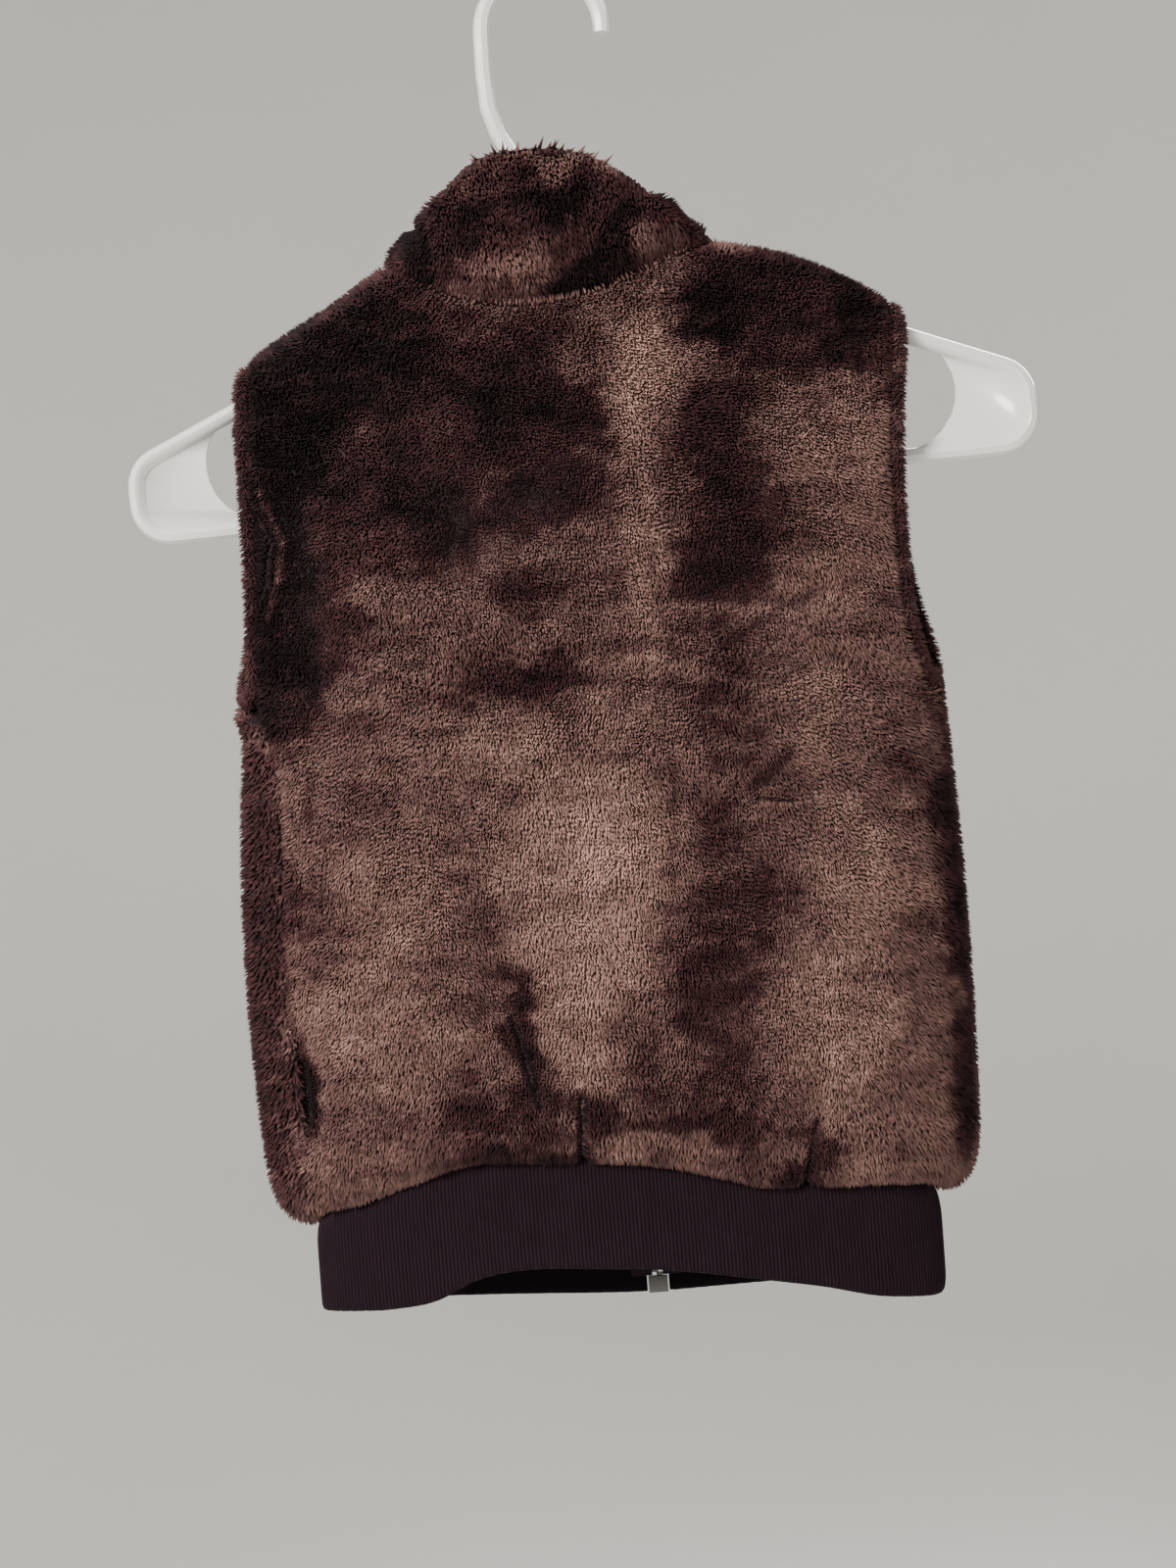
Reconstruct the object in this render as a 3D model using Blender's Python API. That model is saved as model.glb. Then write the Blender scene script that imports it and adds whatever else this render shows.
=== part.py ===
"""A child's faux fur vest with a stand-up collar, a ribbed hem band and a front zip, on a plastic hanger.

Lengths are in millimetres until a mesh is made. +Z is up, the back of the vest faces -Y and the
wearer's left is at -X. The origin is the inside of the hook, where a rod carries the hanger.
A turn counts quarter circles round the body: 0 is the middle of the back, -1 and 1 are the
sides, and -2 and 2 are the middle of the front.
"""

import math

import bmesh
import bpy
import numpy as np

MM = 0.001

# Fur and cloth
FUR_WALL = 9.5
SHOULDER_WALL_LEFT = 16.2
SHOULDER_WALL_RIGHT = 13.2
COLLAR_WALL = 11.0
BAND_WALL = 3.0
SEAM_GAP = 0.3
SEAM_TURN = 0.0028
# Each panel lies this far from the plane of the shoulder seams
SHOULDER_SEAM_HALF = 0.2
# How round the body is across and deep, lower down and over the shoulders
ROUND_ACROSS = 0.8
ROUND_DEEP = 0.8
ROUND_DEEP_SHOULDER = 0.05
TURN_STEPS = 30
FLAT_DEPTH = 16.0
SPREAD_HEIGHT = 160.0
SHOULDERS_FLAT_DOWN_TO = -200.0
BODY_ROUND_FROM = -345.0
# Steps over which slopes are measured
TURN_STEP = 0.01
HEIGHT_STEP = 1.0
# Heights over which the wall thins below the shoulder, is drawn in to the band and takes folds
SHOULDER_THICK_DOWN = 25.0
DRAWN_IN_UP = 30.0
FOLD_FREE_UP = 18.0
FOLD_LIMIT = 5.0

# Outline of the fur from behind and its half depths: height, left, right, back, front
BODY_SECTIONS = (
    (-60.0, -160.0, 156.0, 42.0, 37.0),
    (-165.0, -163.0, 160.0, 42.0, 37.0),
    (-250.0, -162.0, 159.0, 43.0, 38.0),
    (-300.0, -163.0, 159.0, 43.0, 39.0),
    (-345.0, -165.5, 163.0, 43.0, 40.0),
    (-400.0, -170.0, 165.0, 44.0, 41.0),
    (-450.0, -171.5, 165.5, 46.0, 42.0),
    (-495.0, -170.6, 164.5, 48.0, 43.0),
    (-530.0, -168.9, 163.5, 48.0, 43.0),
    (-575.0, -167.5, 162.0, 46.0, 42.0),
    (-620.0, -167.5, 162.0, 46.0, 42.0),
)

# The zip runs a little aslant: height, how far it lies right of the middle
ZIP_LEAN = (
    (-100.0, -1.0),
    (-220.0, 0.0),
    (-400.0, 5.0),
    (-560.0, 11.0),
    (-620.0, 13.0),
)

# Top of the fur over the shoulders, which the neck cuts off: x, height
SHOULDER_TOP = (
    (-175.0, -181.0),
    (-155.5, -168.3),
    (-132.8, -155.2),
    (-109.4, -142.5),
    (-84.0, -125.5),
    (-40.0, -102.0),
    (-5.0, -88.0),
    (35.0, -100.0),
    (74.4, -124.0),
    (103.0, -131.5),
    (129.0, -144.0),
    (148.4, -156.2),
    (159.7, -166.0),
    (175.0, -176.0),
)

# Ribbed band, with the fur's edge on top of it: turn, top, bottom
BAND_LEFT = -146.0
BAND_RIGHT = 140.4
BAND_BACK = 37.0
BAND_FRONT = 34.0
HEM_LINE = (
    (-2.0, -560.0, -610.5),
    (-1.7, -556.0, -605.5),
    (-1.4, -558.0, -602.0),
    (-1.0, -563.5, -599.7),
    (-0.8, -557.0, -598.8),
    (-0.65, -553.5, -598.3),
    (-0.5, -550.0, -597.6),
    (-0.36, -542.5, -594.0),
    (-0.27, -536.5, -586.5),
    (-0.15, -534.7, -583.3),
    (-0.05, -537.0, -585.0),
    (0.0, -539.0, -586.5),
    (0.08, -545.5, -590.0),
    (0.2, -555.5, -595.5),
    (0.35, -558.0, -601.7),
    (0.5, -559.5, -608.3),
    (0.65, -561.5, -611.3),
    (0.8, -565.0, -613.0),
    (1.0, -571.0, -613.2),
    (1.4, -566.0, -611.5),
    (1.7, -560.5, -609.5),
    (2.0, -560.0, -610.5),
)
BAND_LEAN_AT = -580.0
BLOUSE_HEIGHT = 27.0
BLOUSE_START = 0.35
RIB_PITCH = 1.7
RIB_HEIGHT = 0.9
RIBS_PER_INNER_COLUMN = 4
RIB_SAMPLES = 4001

# Side seams: height, turn
SEAM_LEFT = ((-620.0, -0.66), (-514.0, -0.64), (-404.0, -0.60), (-355.0, -0.60), (-322.0, -0.80))
SEAM_RIGHT = ((-620.0, 0.84), (-414.0, 0.84), (-365.0, 0.80), (-344.0, 0.74), (-330.0, 0.72))

# Edges of the armholes from the underarm to the shoulder, inside their rolled trim: x, height
ARMHOLE_BACK_LEFT = (
    (-152.5, -328.0),
    (-150.5, -316.0),
    (-148.5, -298.0),
    (-147.0, -276.0),
    (-145.5, -250.0),
    (-145.0, -224.0),
    (-143.5, -197.0),
    (-144.0, -161.5),
)
ARMHOLE_BACK_RIGHT = (
    (151.5, -342.0),
    (145.5, -326.0),
    (140.5, -304.0),
    (139.0, -272.0),
    (139.5, -236.0),
    (142.0, -205.0),
    (146.0, -180.0),
    (148.0, -156.0),
)
# The same on the fronts: turn, height
ARMHOLE_FRONT_LEFT = (
    (-0.80, -328.0),
    (-0.93, -327.0),
    (-1.06, -321.0),
    (-1.18, -306.0),
    (-1.27, -283.0),
    (-1.31, -252.0),
    (-1.31, -222.0),
    (-1.30, -195.0),
)
ARMHOLE_FRONT_RIGHT = (
    (0.74, -342.0),
    (0.90, -341.0),
    (1.04, -335.0),
    (1.17, -320.0),
    (1.27, -296.0),
    (1.32, -262.0),
    (1.32, -226.0),
    (1.31, -192.0),
)
NECK_LEFT = -84.0
NECK_RIGHT = 74.4
# Neck seam from the left shoulder to the right one: x, height
NECK_BACK = (
    (-84.0, -125.5),
    (-70.0, -136.0),
    (-55.0, -143.5),
    (-38.0, -149.5),
    (-15.0, -152.8),
    (5.0, -151.5),
    (25.0, -146.0),
    (45.0, -138.0),
    (62.0, -130.5),
    (74.4, -124.0),
)
NECK_FRONT_FOOT = -204.0
NECK_ROUND = 0.85
FRONT_GAP = 10.0

# Columns and rows of the walls
SHOULDER_COLUMNS = 5
NECK_COLUMNS = 14
FRONT_NECK_COLUMNS = 8
SEAM_ROWS = 11
SEAM_EASE = 1.35
# Where the rows along an armhole lie, from the underarm to the shoulder
ARMHOLE_STEPS = (0.0, 0.045, 0.12, 0.23, 0.36, 0.49, 0.61, 0.72, 0.815, 0.9, 0.955, 0.985, 1.0)

# Folds pressed into the fur: x and height of both ends, half width, rise
BACK_FOLDS = (
    (-19.0, -503.0, -22.0, -538.0, 9.0, -4.0),
    (-92.0, -524.0, -34.0, -519.0, 15.0, 4.0),
    (-47.0, -456.0, -34.0, -510.0, 11.0, -4.5),
    (84.0, -520.0, 76.0, -556.0, 10.0, -4.0),
    (-142.0, -480.0, -141.0, -515.0, 7.0, -4.5),
    (-20.0, -326.0, 38.0, -322.0, 8.0, -3.0),
    (45.0, -305.0, 131.0, -289.0, 10.0, -3.5),
    (60.0, -286.0, 125.0, -268.0, 12.0, 2.5),
    (0.0, -491.0, 60.0, -495.0, 9.0, -3.0),
    (5.0, -512.0, 60.0, -520.0, 12.0, 3.0),
    (-101.0, -197.0, -52.0, -236.0, 10.0, -4.0),
    (-54.0, -262.0, 16.0, -207.0, 10.0, -4.0),
    (-85.0, -277.0, -13.0, -248.0, 10.0, -3.0),
    (-128.0, -240.0, -120.0, -345.0, 16.0, -4.0),
    (119.0, -336.0, 70.0, -306.0, 10.0, -3.0),
    (-120.0, -165.0, -60.0, -175.0, 16.0, 2.5),
    (-100.0, -400.0, -70.0, -470.0, 18.0, 2.5),
    (60.0, -380.0, 66.0, -470.0, 16.0, -2.5),
    (120.0, -420.0, 126.0, -520.0, 18.0, 2.5),
)
FRONT_FOLDS = (
    (-92.0, -480.0, -80.0, -540.0, 11.0, -4.0),
    (-60.0, -500.0, -50.0, -545.0, 12.0, 3.0),
    (98.0, -470.0, 86.0, -545.0, 11.0, -4.0),
    (50.0, -505.0, 42.0, -548.0, 11.0, -3.5),
    (-120.0, -310.0, -60.0, -270.0, 11.0, -3.5),
    (122.0, -320.0, 64.0, -280.0, 11.0, -3.5),
    (-110.0, -200.0, -60.0, -240.0, 12.0, -3.0),
    (112.0, -195.0, 62.0, -245.0, 12.0, -3.0),
    (-100.0, -380.0, -60.0, -392.0, 10.0, -2.5),
    (104.0, -405.0, 58.0, -396.0, 10.0, -2.5),
)
COLLAR_FOLDS = (
    (33.0, -112.0, -8.0, -149.0, 9.0, -4.5),
    (-58.0, -92.0, -64.0, -120.0, 7.0, -3.0),
    (52.0, -112.0, 10.0, -135.0, 9.0, 2.5),
)

# Collar: middle, half width and half depths of its top ring, and its top edge: turn, height
COLLAR_GAP = 0.65
COLLAR_MIDDLE = -4.5
COLLAR_HALF_WIDTH = 66.5
COLLAR_BACK = 31.0
COLLAR_FRONT = 37.0
COLLAR_BULGE = 3.5
COLLAR_INNER_BULGE = 2.1
COLLAR_SIDE_FACING = 0.6
COLLAR_FOLD_START = 0.25
COLLAR_ROUNDING = 3.5
COLLAR_ROUNDED_SHARE = 0.3
COLLAR_ROWS = 5
COLLAR_TOP = (
    (-2.0, -145.0),
    (-1.6, -139.0),
    (-1.3, -124.0),
    (-1.0, -108.0),
    (-0.8, -105.0),
    (-0.62, -102.5),
    (-0.47, -94.0),
    (-0.3, -84.0),
    (-0.15, -80.0),
    (0.0, -80.0),
    (0.13, -83.0),
    (0.27, -89.5),
    (0.45, -99.0),
    (0.65, -107.0),
    (0.85, -112.0),
    (1.0, -115.0),
    (1.3, -127.0),
    (1.6, -139.0),
    (2.0, -145.0),
)

# Rolled armhole trim
TRIM_RADIUS = 4.6
TRIM_GAP = 1.2
TRIM_FOOT_STEPS = 4
TRIM_FOOT_LIFT = 1.25

# Zip
TAPE_EDGE = 2.5
TAPE_WIDTH = 10.0
TAPE_THICKNESS = 1.0
TAPE_BEHIND = 0.6
TAPE_CLEAR = 1.0
TAPE_FOOT_IN = 0.1
TANGENT_STEP = 2.0
CHAIN_WIDTH = 4.4
CHAIN_FRONT = 1.2
CHAIN_BACK = -1.7
ZIP_TOP_BELOW_COLLAR = 3.0
JOIN_OVERLAP = 0.1
SLIDER_BELOW_COLLAR = 15.0
SLIDER_WIDTH = 8.0
SLIDER_LENGTH = 10.0
SLIDER_PLATE = 1.3
SLIDER_SLOT_FRONT = 1.6
SLIDER_SLOT_BACK = -2.0
SLIDER_POST_WIDTH = 2.0
SLIDER_POST_LENGTH = 3.0
SLIDER_POST_DOWN = 0.5
BAIL_WIDTH = 1.4
BAIL_LENGTH = 6.4
BAIL_HEIGHT = 3.4
BAIL_WALL = 1.1
PULL_BAR_RISE = 1.35
PULL_BAR_GAP = 0.35
PULL_WIDTH = 6.0
PULL_LENGTH = 27.0
PULL_THICKNESS = 1.2
PULL_EYE_WIDTH = 2.8
PULL_EYE_LENGTH = 5.7
PULL_BAR = 1.1
BOX_WIDTH = 9.0
BOX_HEIGHT = 8.0
BOX_THICKNESS = 3.6

# Hanger
HANGER_TILT = math.radians(1.65)
HANGER_X = 1.0
HANGER_APEX = -112.3
HANGER_SLOPE = math.radians(23.0)
HANGER_HALF_LENGTH = 209.0
HANGER_BOTTOM = -240.2
HANGER_TUBE_RADIUS = 3.75
HANGER_TUBE_DEPTH = 9.4
HANGER_END_RADIUS = 15.0
HANGER_TOP_RADIUS = 60.0
HANGER_CORNER_STEPS = (5, 5, 6, 6, 5)
HANGER_WEB = 1.6
HANGER_HOLE_RADIUS = 26.5
HANGER_HOLE_X = 146.0
HANGER_HOLE_INTO_BAR = 1.0
HANGER_HOLE_STEPS = 12
HOOK_RADIUS = 27.55
HOOK_SWEEP = math.radians(188.0)
HOOK_STEPS = 16
# The hook's stem from its bow down to the bars: x, height
HOOK_STEM = (
    (-27.85, -42.0),
    (-27.0, -58.0),
    (-23.5, -70.0),
    (-17.0, -82.0),
    (-9.0, -94.0),
    (-2.5, -106.0),
    (0.8, -121.0),
)
TUBE_SIDES_RESOLUTION = 2


def smooth_table(rows, column, at):
    """Reads a table's column at a first value between its rows, along a smooth curve."""
    table = np.array(rows, dtype=float)
    keys = table[:, 0]
    values = table[:, column]
    slopes = np.gradient(values, keys)
    at = min(max(at, keys[0]), keys[-1])
    i = min(max(int(np.searchsorted(keys, at)) - 1, 0), len(keys) - 2)
    span = keys[i + 1] - keys[i]
    t = (at - keys[i]) / span
    rise = values[i + 1] - values[i]
    start = slopes[i] * span
    end = slopes[i + 1] * span
    limit = 3.0 * abs(rise)
    start = max(-limit, min(limit, start)) if start * rise > 0 else 0.0
    end = max(-limit, min(limit, end)) if end * rise > 0 else 0.0
    a = 2 * t**3 - 3 * t**2 + 1
    b = t**3 - 2 * t**2 + t
    c = -2 * t**3 + 3 * t**2
    d = t**3 - t**2
    return a * values[i] + b * start + c * values[i + 1] + d * end


def soft_step(t):
    t = min(max(t, 0.0), 1.0)
    return t * t * (3.0 - 2.0 * t)


def mix(a, b, t):
    return a + (b - a) * t


def sine(turn):
    s = math.sin(turn * math.pi / 2)
    return math.copysign(abs(s) ** ROUND_ACROSS, s)


def cosine(turn, power):
    c = math.cos(turn * math.pi / 2)
    return math.copysign(abs(c) ** power, c)


BODY_UP = tuple(sorted(BODY_SECTIONS))
LEAN_UP = tuple(sorted(ZIP_LEAN))


def hem_top(turn):
    return smooth_table(HEM_LINE, 1, turn)


def hem_bottom(turn):
    return smooth_table(HEM_LINE, 2, turn)


def band_point(turn, inset):
    """A point of the band's oval, moved in by inset."""
    middle = (BAND_LEFT + BAND_RIGHT) / 2
    half = (BAND_RIGHT - BAND_LEFT) / 2 - inset
    c = cosine(turn, ROUND_DEEP)
    deep = BAND_BACK if c > 0 else BAND_FRONT
    lean = smooth_table(LEAN_UP, 1, BAND_LEAN_AT) * max(0.0, -math.cos(turn * math.pi / 2))
    return np.array((middle + half * sine(turn) + lean, -c * (deep - inset)))


def oval_point(turn, z, inset, roll):
    """A point of the body's oval at a height, before it is drawn in to the band."""
    left = smooth_table(BODY_UP, 1, z)
    right = smooth_table(BODY_UP, 2, z)
    lean = smooth_table(LEAN_UP, 1, z) * max(0.0, -math.cos(turn * math.pi / 2))
    x = (left + right) / 2 + ((right - left) / 2 - inset) * sine(turn) + lean
    flatness = soft_step((SHOULDERS_FLAT_DOWN_TO - z) / (SHOULDERS_FLAT_DOWN_TO - BODY_ROUND_FROM))
    c = cosine(turn, mix(ROUND_DEEP_SHOULDER, ROUND_DEEP, flatness))
    below = smooth_table(SHOULDER_TOP, 1, x) - z
    full = smooth_table(BODY_UP, 3 if c > 0 else 4, z)
    thin = FLAT_DEPTH
    if roll:
        over = 1.0 - min(max(below, 0.0), FLAT_DEPTH) / FLAT_DEPTH
        thin = FLAT_DEPTH * math.sqrt(1.0 - over * over)
    deep = thin + (full - FLAT_DEPTH) * soft_step(below / SPREAD_HEIGHT)
    return np.array((x, -c * (deep - inset)))


def blouse(above, start):
    """How far the fur has swelled out over the band, from start at its edge to 1."""
    t = min(max(above / BLOUSE_HEIGHT, 0.0), 1.0)
    return start + (1.0 - start) * math.sqrt(1.0 - (1.0 - t) ** 2)


def skin(turn, z, roll=True):
    """The outer side of the fur, without folds."""
    swell = blouse(z - hem_top(turn), BLOUSE_START)
    across = mix(band_point(turn, 0.0), oval_point(turn, z, 0.0, roll), swell)
    return np.array((across[0], across[1], z))


def unit(v):
    return v / np.linalg.norm(v)


def outward(turn, z):
    """The direction that the fur faces, which turns up over the shoulder."""
    x = skin(turn, z)[0]
    across = skin(turn + TURN_STEP, z, False) - skin(turn - TURN_STEP, z, False)
    along = skin(turn, z + HEIGHT_STEP, False) - skin(turn, z, False)
    side = unit(np.cross(across, along))
    below = smooth_table(SHOULDER_TOP, 1, x) - z
    up_share = 1.0 - min(max(below, 0.0), FLAT_DEPTH) / FLAT_DEPTH
    ahead = smooth_table(SHOULDER_TOP, 1, x + HEIGHT_STEP)
    behind = smooth_table(SHOULDER_TOP, 1, x - HEIGHT_STEP)
    up = unit(np.array((behind - ahead, 0.0, 2.0 * HEIGHT_STEP)))
    return unit(side * math.sqrt(1.0 - up_share**2) + up * up_share)


def relief(folds, x, z):
    """How far the folds lift or sink the fur at a place."""
    total = 0.0
    for x0, z0, x1, z1, width, rise in folds:
        length = np.array((x1 - x0, z1 - z0))
        place = np.array((x - x0, z - z0))
        t = min(max(float(place @ length) / float(length @ length), 0.0), 1.0)
        away = np.linalg.norm(place - t * length)
        total += rise * math.exp(-((away / width) ** 2))
    return min(max(total, -FOLD_LIMIT), FOLD_LIMIT)


def wall_points(turn, z, folds):
    """The outer and inner point of the fur wall."""
    base = skin(turn, z)
    normal = outward(turn, z)
    below = smooth_table(SHOULDER_TOP, 1, base[0]) - z
    shoulder = SHOULDER_WALL_LEFT if base[0] < 0 else SHOULDER_WALL_RIGHT
    thick = mix(shoulder, FUR_WALL, soft_step(below / SHOULDER_THICK_DOWN))
    above = z - hem_top(turn)
    drawn = mix(band_point(turn, BAND_WALL), oval_point(turn, z, FUR_WALL, True), blouse(above, 0.0))
    inner = mix(np.array((drawn[0], drawn[1], z)), base - normal * thick, soft_step(above / DRAWN_IN_UP))
    outer = base + normal * relief(folds, base[0], z) * soft_step(above / FOLD_FREE_UP)
    return outer, inner


def turn_of(x, z, front):
    """The turn at which the body's oval has this x: front is 0 for the back, -1 or 1 for a front."""
    left = smooth_table(BODY_UP, 1, z)
    right = smooth_table(BODY_UP, 2, z)
    lean = smooth_table(LEAN_UP, 1, z) if front else 0.0
    s = 0.0
    for _ in range(TURN_STEPS):
        target = (x - (left + right) / 2 - lean * math.sqrt(1.0 - s * s)) / ((right - left) / 2)
        s = math.copysign(min(abs(target), 1.0) ** (1.0 / ROUND_ACROSS), target)
    turn = math.asin(s) / (math.pi / 2)
    if front:
        turn = 2.0 * front - turn
    return turn


def eased_start(count, power):
    """Fractions from 0 to 1 that lie closer together towards 0."""
    return [(i / count) ** power for i in range(count + 1)]


def along_rows(rows, fractions):
    """Points at fractions of the length of a polyline given as rows of two numbers."""
    points = np.array(rows, dtype=float)
    steps = np.linalg.norm(np.diff(points, axis=0), axis=1)
    length = np.concatenate(([0.0], np.cumsum(steps)))
    keys = length / length[-1]
    table = [(k, p[0], p[1]) for k, p in zip(keys, points)]
    return [np.array((smooth_table(table, 1, f), smooth_table(table, 2, f))) for f in fractions]


def patch(bottom, top, left, right):
    """Fills a net of turn and height between four edges that share their corners."""
    rows = len(left)
    columns = len(bottom)
    net = np.zeros((rows, columns, 2))
    for i in range(rows):
        v_left = (left[i][1] - left[0][1]) / (left[-1][1] - left[0][1])
        v_right = (right[i][1] - right[0][1]) / (right[-1][1] - right[0][1])
        for j in range(columns):
            u = j / (columns - 1)
            v = mix(v_left, v_right, u)
            sides = mix(left[i], right[i], u)
            ends = mix(bottom[j], top[j], v)
            corners = mix(mix(bottom[0], bottom[-1], u), mix(top[0], top[-1], u), v)
            net[i, j] = sides + ends - corners
    return net


def shoulder_row(x_from, x_to, count):
    """Points along the shoulder seam as x and height."""
    found = []
    for i in range(count + 1):
        x = mix(x_from, x_to, i / count)
        found.append(np.array((x, smooth_table(SHOULDER_TOP, 1, x))))
    return found


def to_turns(points, front):
    """Points of x and height as turn and height."""
    return [np.array((turn_of(p[0], p[1], front), p[1])) for p in points]


def side_rows(seam, by, armhole):
    """A panel's side edge: up its side seam to the underarm, then up the armhole."""
    underarm = armhole[0] + np.array((by, 0.0))
    start = hem_top(seam[0][1]) + SEAM_GAP
    rows = []
    for f in eased_start(SEAM_ROWS, SEAM_EASE):
        z = mix(start, underarm[1], f)
        rows.append(np.array((smooth_table(seam, 1, z), z)))
    rows[-1] = underarm
    return rows + armhole[1:]


def hem_row(turn_from, turn_to, count):
    found = []
    for i in range(count + 1):
        turn = mix(turn_from, turn_to, i / count)
        found.append(np.array((turn, hem_top(turn) + SEAM_GAP)))
    return found


def moved_seam(seam, by):
    return tuple((z, turn + by) for z, turn in seam)


def back_net():
    neck = along_rows(NECK_BACK, [i / NECK_COLUMNS for i in range(NECK_COLUMNS + 1)])
    tip_left = ARMHOLE_BACK_LEFT[-1][0]
    tip_right = ARMHOLE_BACK_RIGHT[-1][0]
    top = shoulder_row(tip_left, NECK_LEFT, SHOULDER_COLUMNS)[:-1] + neck
    top += shoulder_row(NECK_RIGHT, tip_right, SHOULDER_COLUMNS)[1:]
    top = to_turns(top, 0.0)
    sides = []
    for seam, armhole, end, by in (
        (SEAM_LEFT, ARMHOLE_BACK_LEFT, top[0], SEAM_TURN),
        (SEAM_RIGHT, ARMHOLE_BACK_RIGHT, top[-1], -SEAM_TURN),
    ):
        points = to_turns(along_rows(armhole, ARMHOLE_STEPS), 0.0)
        points[-1] = end
        sides.append(side_rows(moved_seam(seam, by), by, points))
    bottom = hem_row(sides[0][0][0], sides[1][0][0], len(top) - 1)
    return patch(bottom, top, sides[0], sides[1])


def zip_middle(z):
    """The x of the front's middle at a height."""
    left = smooth_table(BODY_UP, 1, z)
    right = smooth_table(BODY_UP, 2, z)
    return (left + right) / 2 + smooth_table(LEAN_UP, 1, z)


def front_net(sign):
    """The net of one front, from its side seam to the zip; sign is -1 on the left and 1 on the right."""
    if sign > 0:
        seam, armhole, tip, neck_x = SEAM_RIGHT, ARMHOLE_FRONT_RIGHT, ARMHOLE_BACK_RIGHT[-1][0], NECK_RIGHT
    else:
        seam, armhole, tip, neck_x = SEAM_LEFT, ARMHOLE_FRONT_LEFT, ARMHOLE_BACK_LEFT[-1][0], NECK_LEFT
    shoulder = shoulder_row(tip, neck_x, SHOULDER_COLUMNS)
    neck_top = shoulder[-1][1]
    edge_x = zip_middle(NECK_FRONT_FOOT) + sign * FRONT_GAP / 2
    neck = []
    for i in range(FRONT_NECK_COLUMNS + 1):
        angle = math.pi / 2 * i / FRONT_NECK_COLUMNS
        x = edge_x + (neck_x - edge_x) * math.cos(angle) ** NECK_ROUND
        z = neck_top + (NECK_FRONT_FOOT - neck_top) * math.sin(angle)
        neck.append(np.array((x, z)))
    top = to_turns(shoulder[:-1] + neck, sign)
    points = along_rows([*armhole, tuple(top[0])], ARMHOLE_STEPS)
    points[-1] = top[0]
    side = side_rows(moved_seam(seam, sign * SEAM_TURN), sign * SEAM_TURN, points)
    low = hem_top(sign * 2.0) + SEAM_GAP
    centre = []
    for place in side:
        share = (place[1] - side[0][1]) / (side[-1][1] - side[0][1])
        z = mix(low, NECK_FRONT_FOOT, share)
        centre.append(to_turns([(zip_middle(z) + sign * FRONT_GAP / 2, z)], sign)[0])
    centre[-1] = top[-1]
    bottom = hem_row(side[0][0], centre[0][0], len(top) - 1)
    return patch(bottom, top, side, centre)


def walls_of(net, folds, side):
    """Outer and inner grids of points over a net; side keeps the seam on the shoulder open."""
    rows, columns = net.shape[:2]
    outer = np.zeros((rows, columns, 3))
    inner = np.zeros((rows, columns, 3))
    for i in range(rows):
        for j in range(columns):
            out_point, in_point = wall_points(net[i, j, 0], net[i, j, 1], folds)
            shift = np.array((0.0, side * SHOULDER_SEAM_HALF, 0.0))
            outer[i, j] = out_point + shift
            inner[i, j] = in_point + shift
    return outer, inner


def mesh_object(name, points, faces, material, collection):
    """An object from points in millimetres."""
    mesh = bpy.data.meshes.new(name)
    mesh.from_pydata([tuple(p * MM for p in point) for point in points], [], faces)
    shaped = bmesh.new()
    shaped.from_mesh(mesh)
    bmesh.ops.recalc_face_normals(shaped, faces=shaped.faces)
    if shaped.calc_volume(signed=True) < 0.0:
        bmesh.ops.reverse_faces(shaped, faces=shaped.faces)
    shaped.to_mesh(mesh)
    shaped.free()
    mesh.shade_smooth()
    mesh.materials.append(material)
    obj = bpy.data.objects.new(name, mesh)
    collection.objects.link(obj)
    return obj


def bridge(a, b):
    """Faces between two rows of point numbers, where a has a whole number of steps for each of b."""
    per = (len(a) - 1) // (len(b) - 1)
    faces = []
    for j in range(len(b) - 1):
        start = j * per
        half = start + per // 2
        for k in range(start, half):
            faces.append((a[k], a[k + 1], b[j]))
        if per == 1:
            faces.append((a[start], a[start + 1], b[j + 1], b[j]))
            continue
        faces.append((a[half], b[j + 1], b[j]))
        for k in range(half, start + per):
            faces.append((a[k], a[k + 1], b[j + 1]))
    return faces


def wall_object(name, outer, inner, material, collection):
    """A closed wall between an outer and an inner grid with as many rows."""
    rows, outer_columns = outer.shape[:2]
    inner_columns = inner.shape[1]
    points = list(outer.reshape(-1, 3)) + list(inner.reshape(-1, 3))
    first = rows * outer_columns

    def out_at(i, j):
        return i * outer_columns + j

    def in_at(i, j):
        return first + i * inner_columns + j

    faces = []
    for i in range(rows - 1):
        for j in range(outer_columns - 1):
            faces.append((out_at(i, j), out_at(i, j + 1), out_at(i + 1, j + 1), out_at(i + 1, j)))
        for j in range(inner_columns - 1):
            faces.append((in_at(i, j), in_at(i + 1, j), in_at(i + 1, j + 1), in_at(i, j + 1)))
        for j_out, j_in in ((0, 0), (outer_columns - 1, inner_columns - 1)):
            faces.append((out_at(i, j_out), out_at(i + 1, j_out), in_at(i + 1, j_in), in_at(i, j_in)))
    for i in (0, rows - 1):
        outer_row = [out_at(i, j) for j in range(outer_columns)]
        inner_row = [in_at(i, j) for j in range(inner_columns)]
        faces += bridge(outer_row, inner_row)
    return mesh_object(name, points, faces, material, collection)


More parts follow.
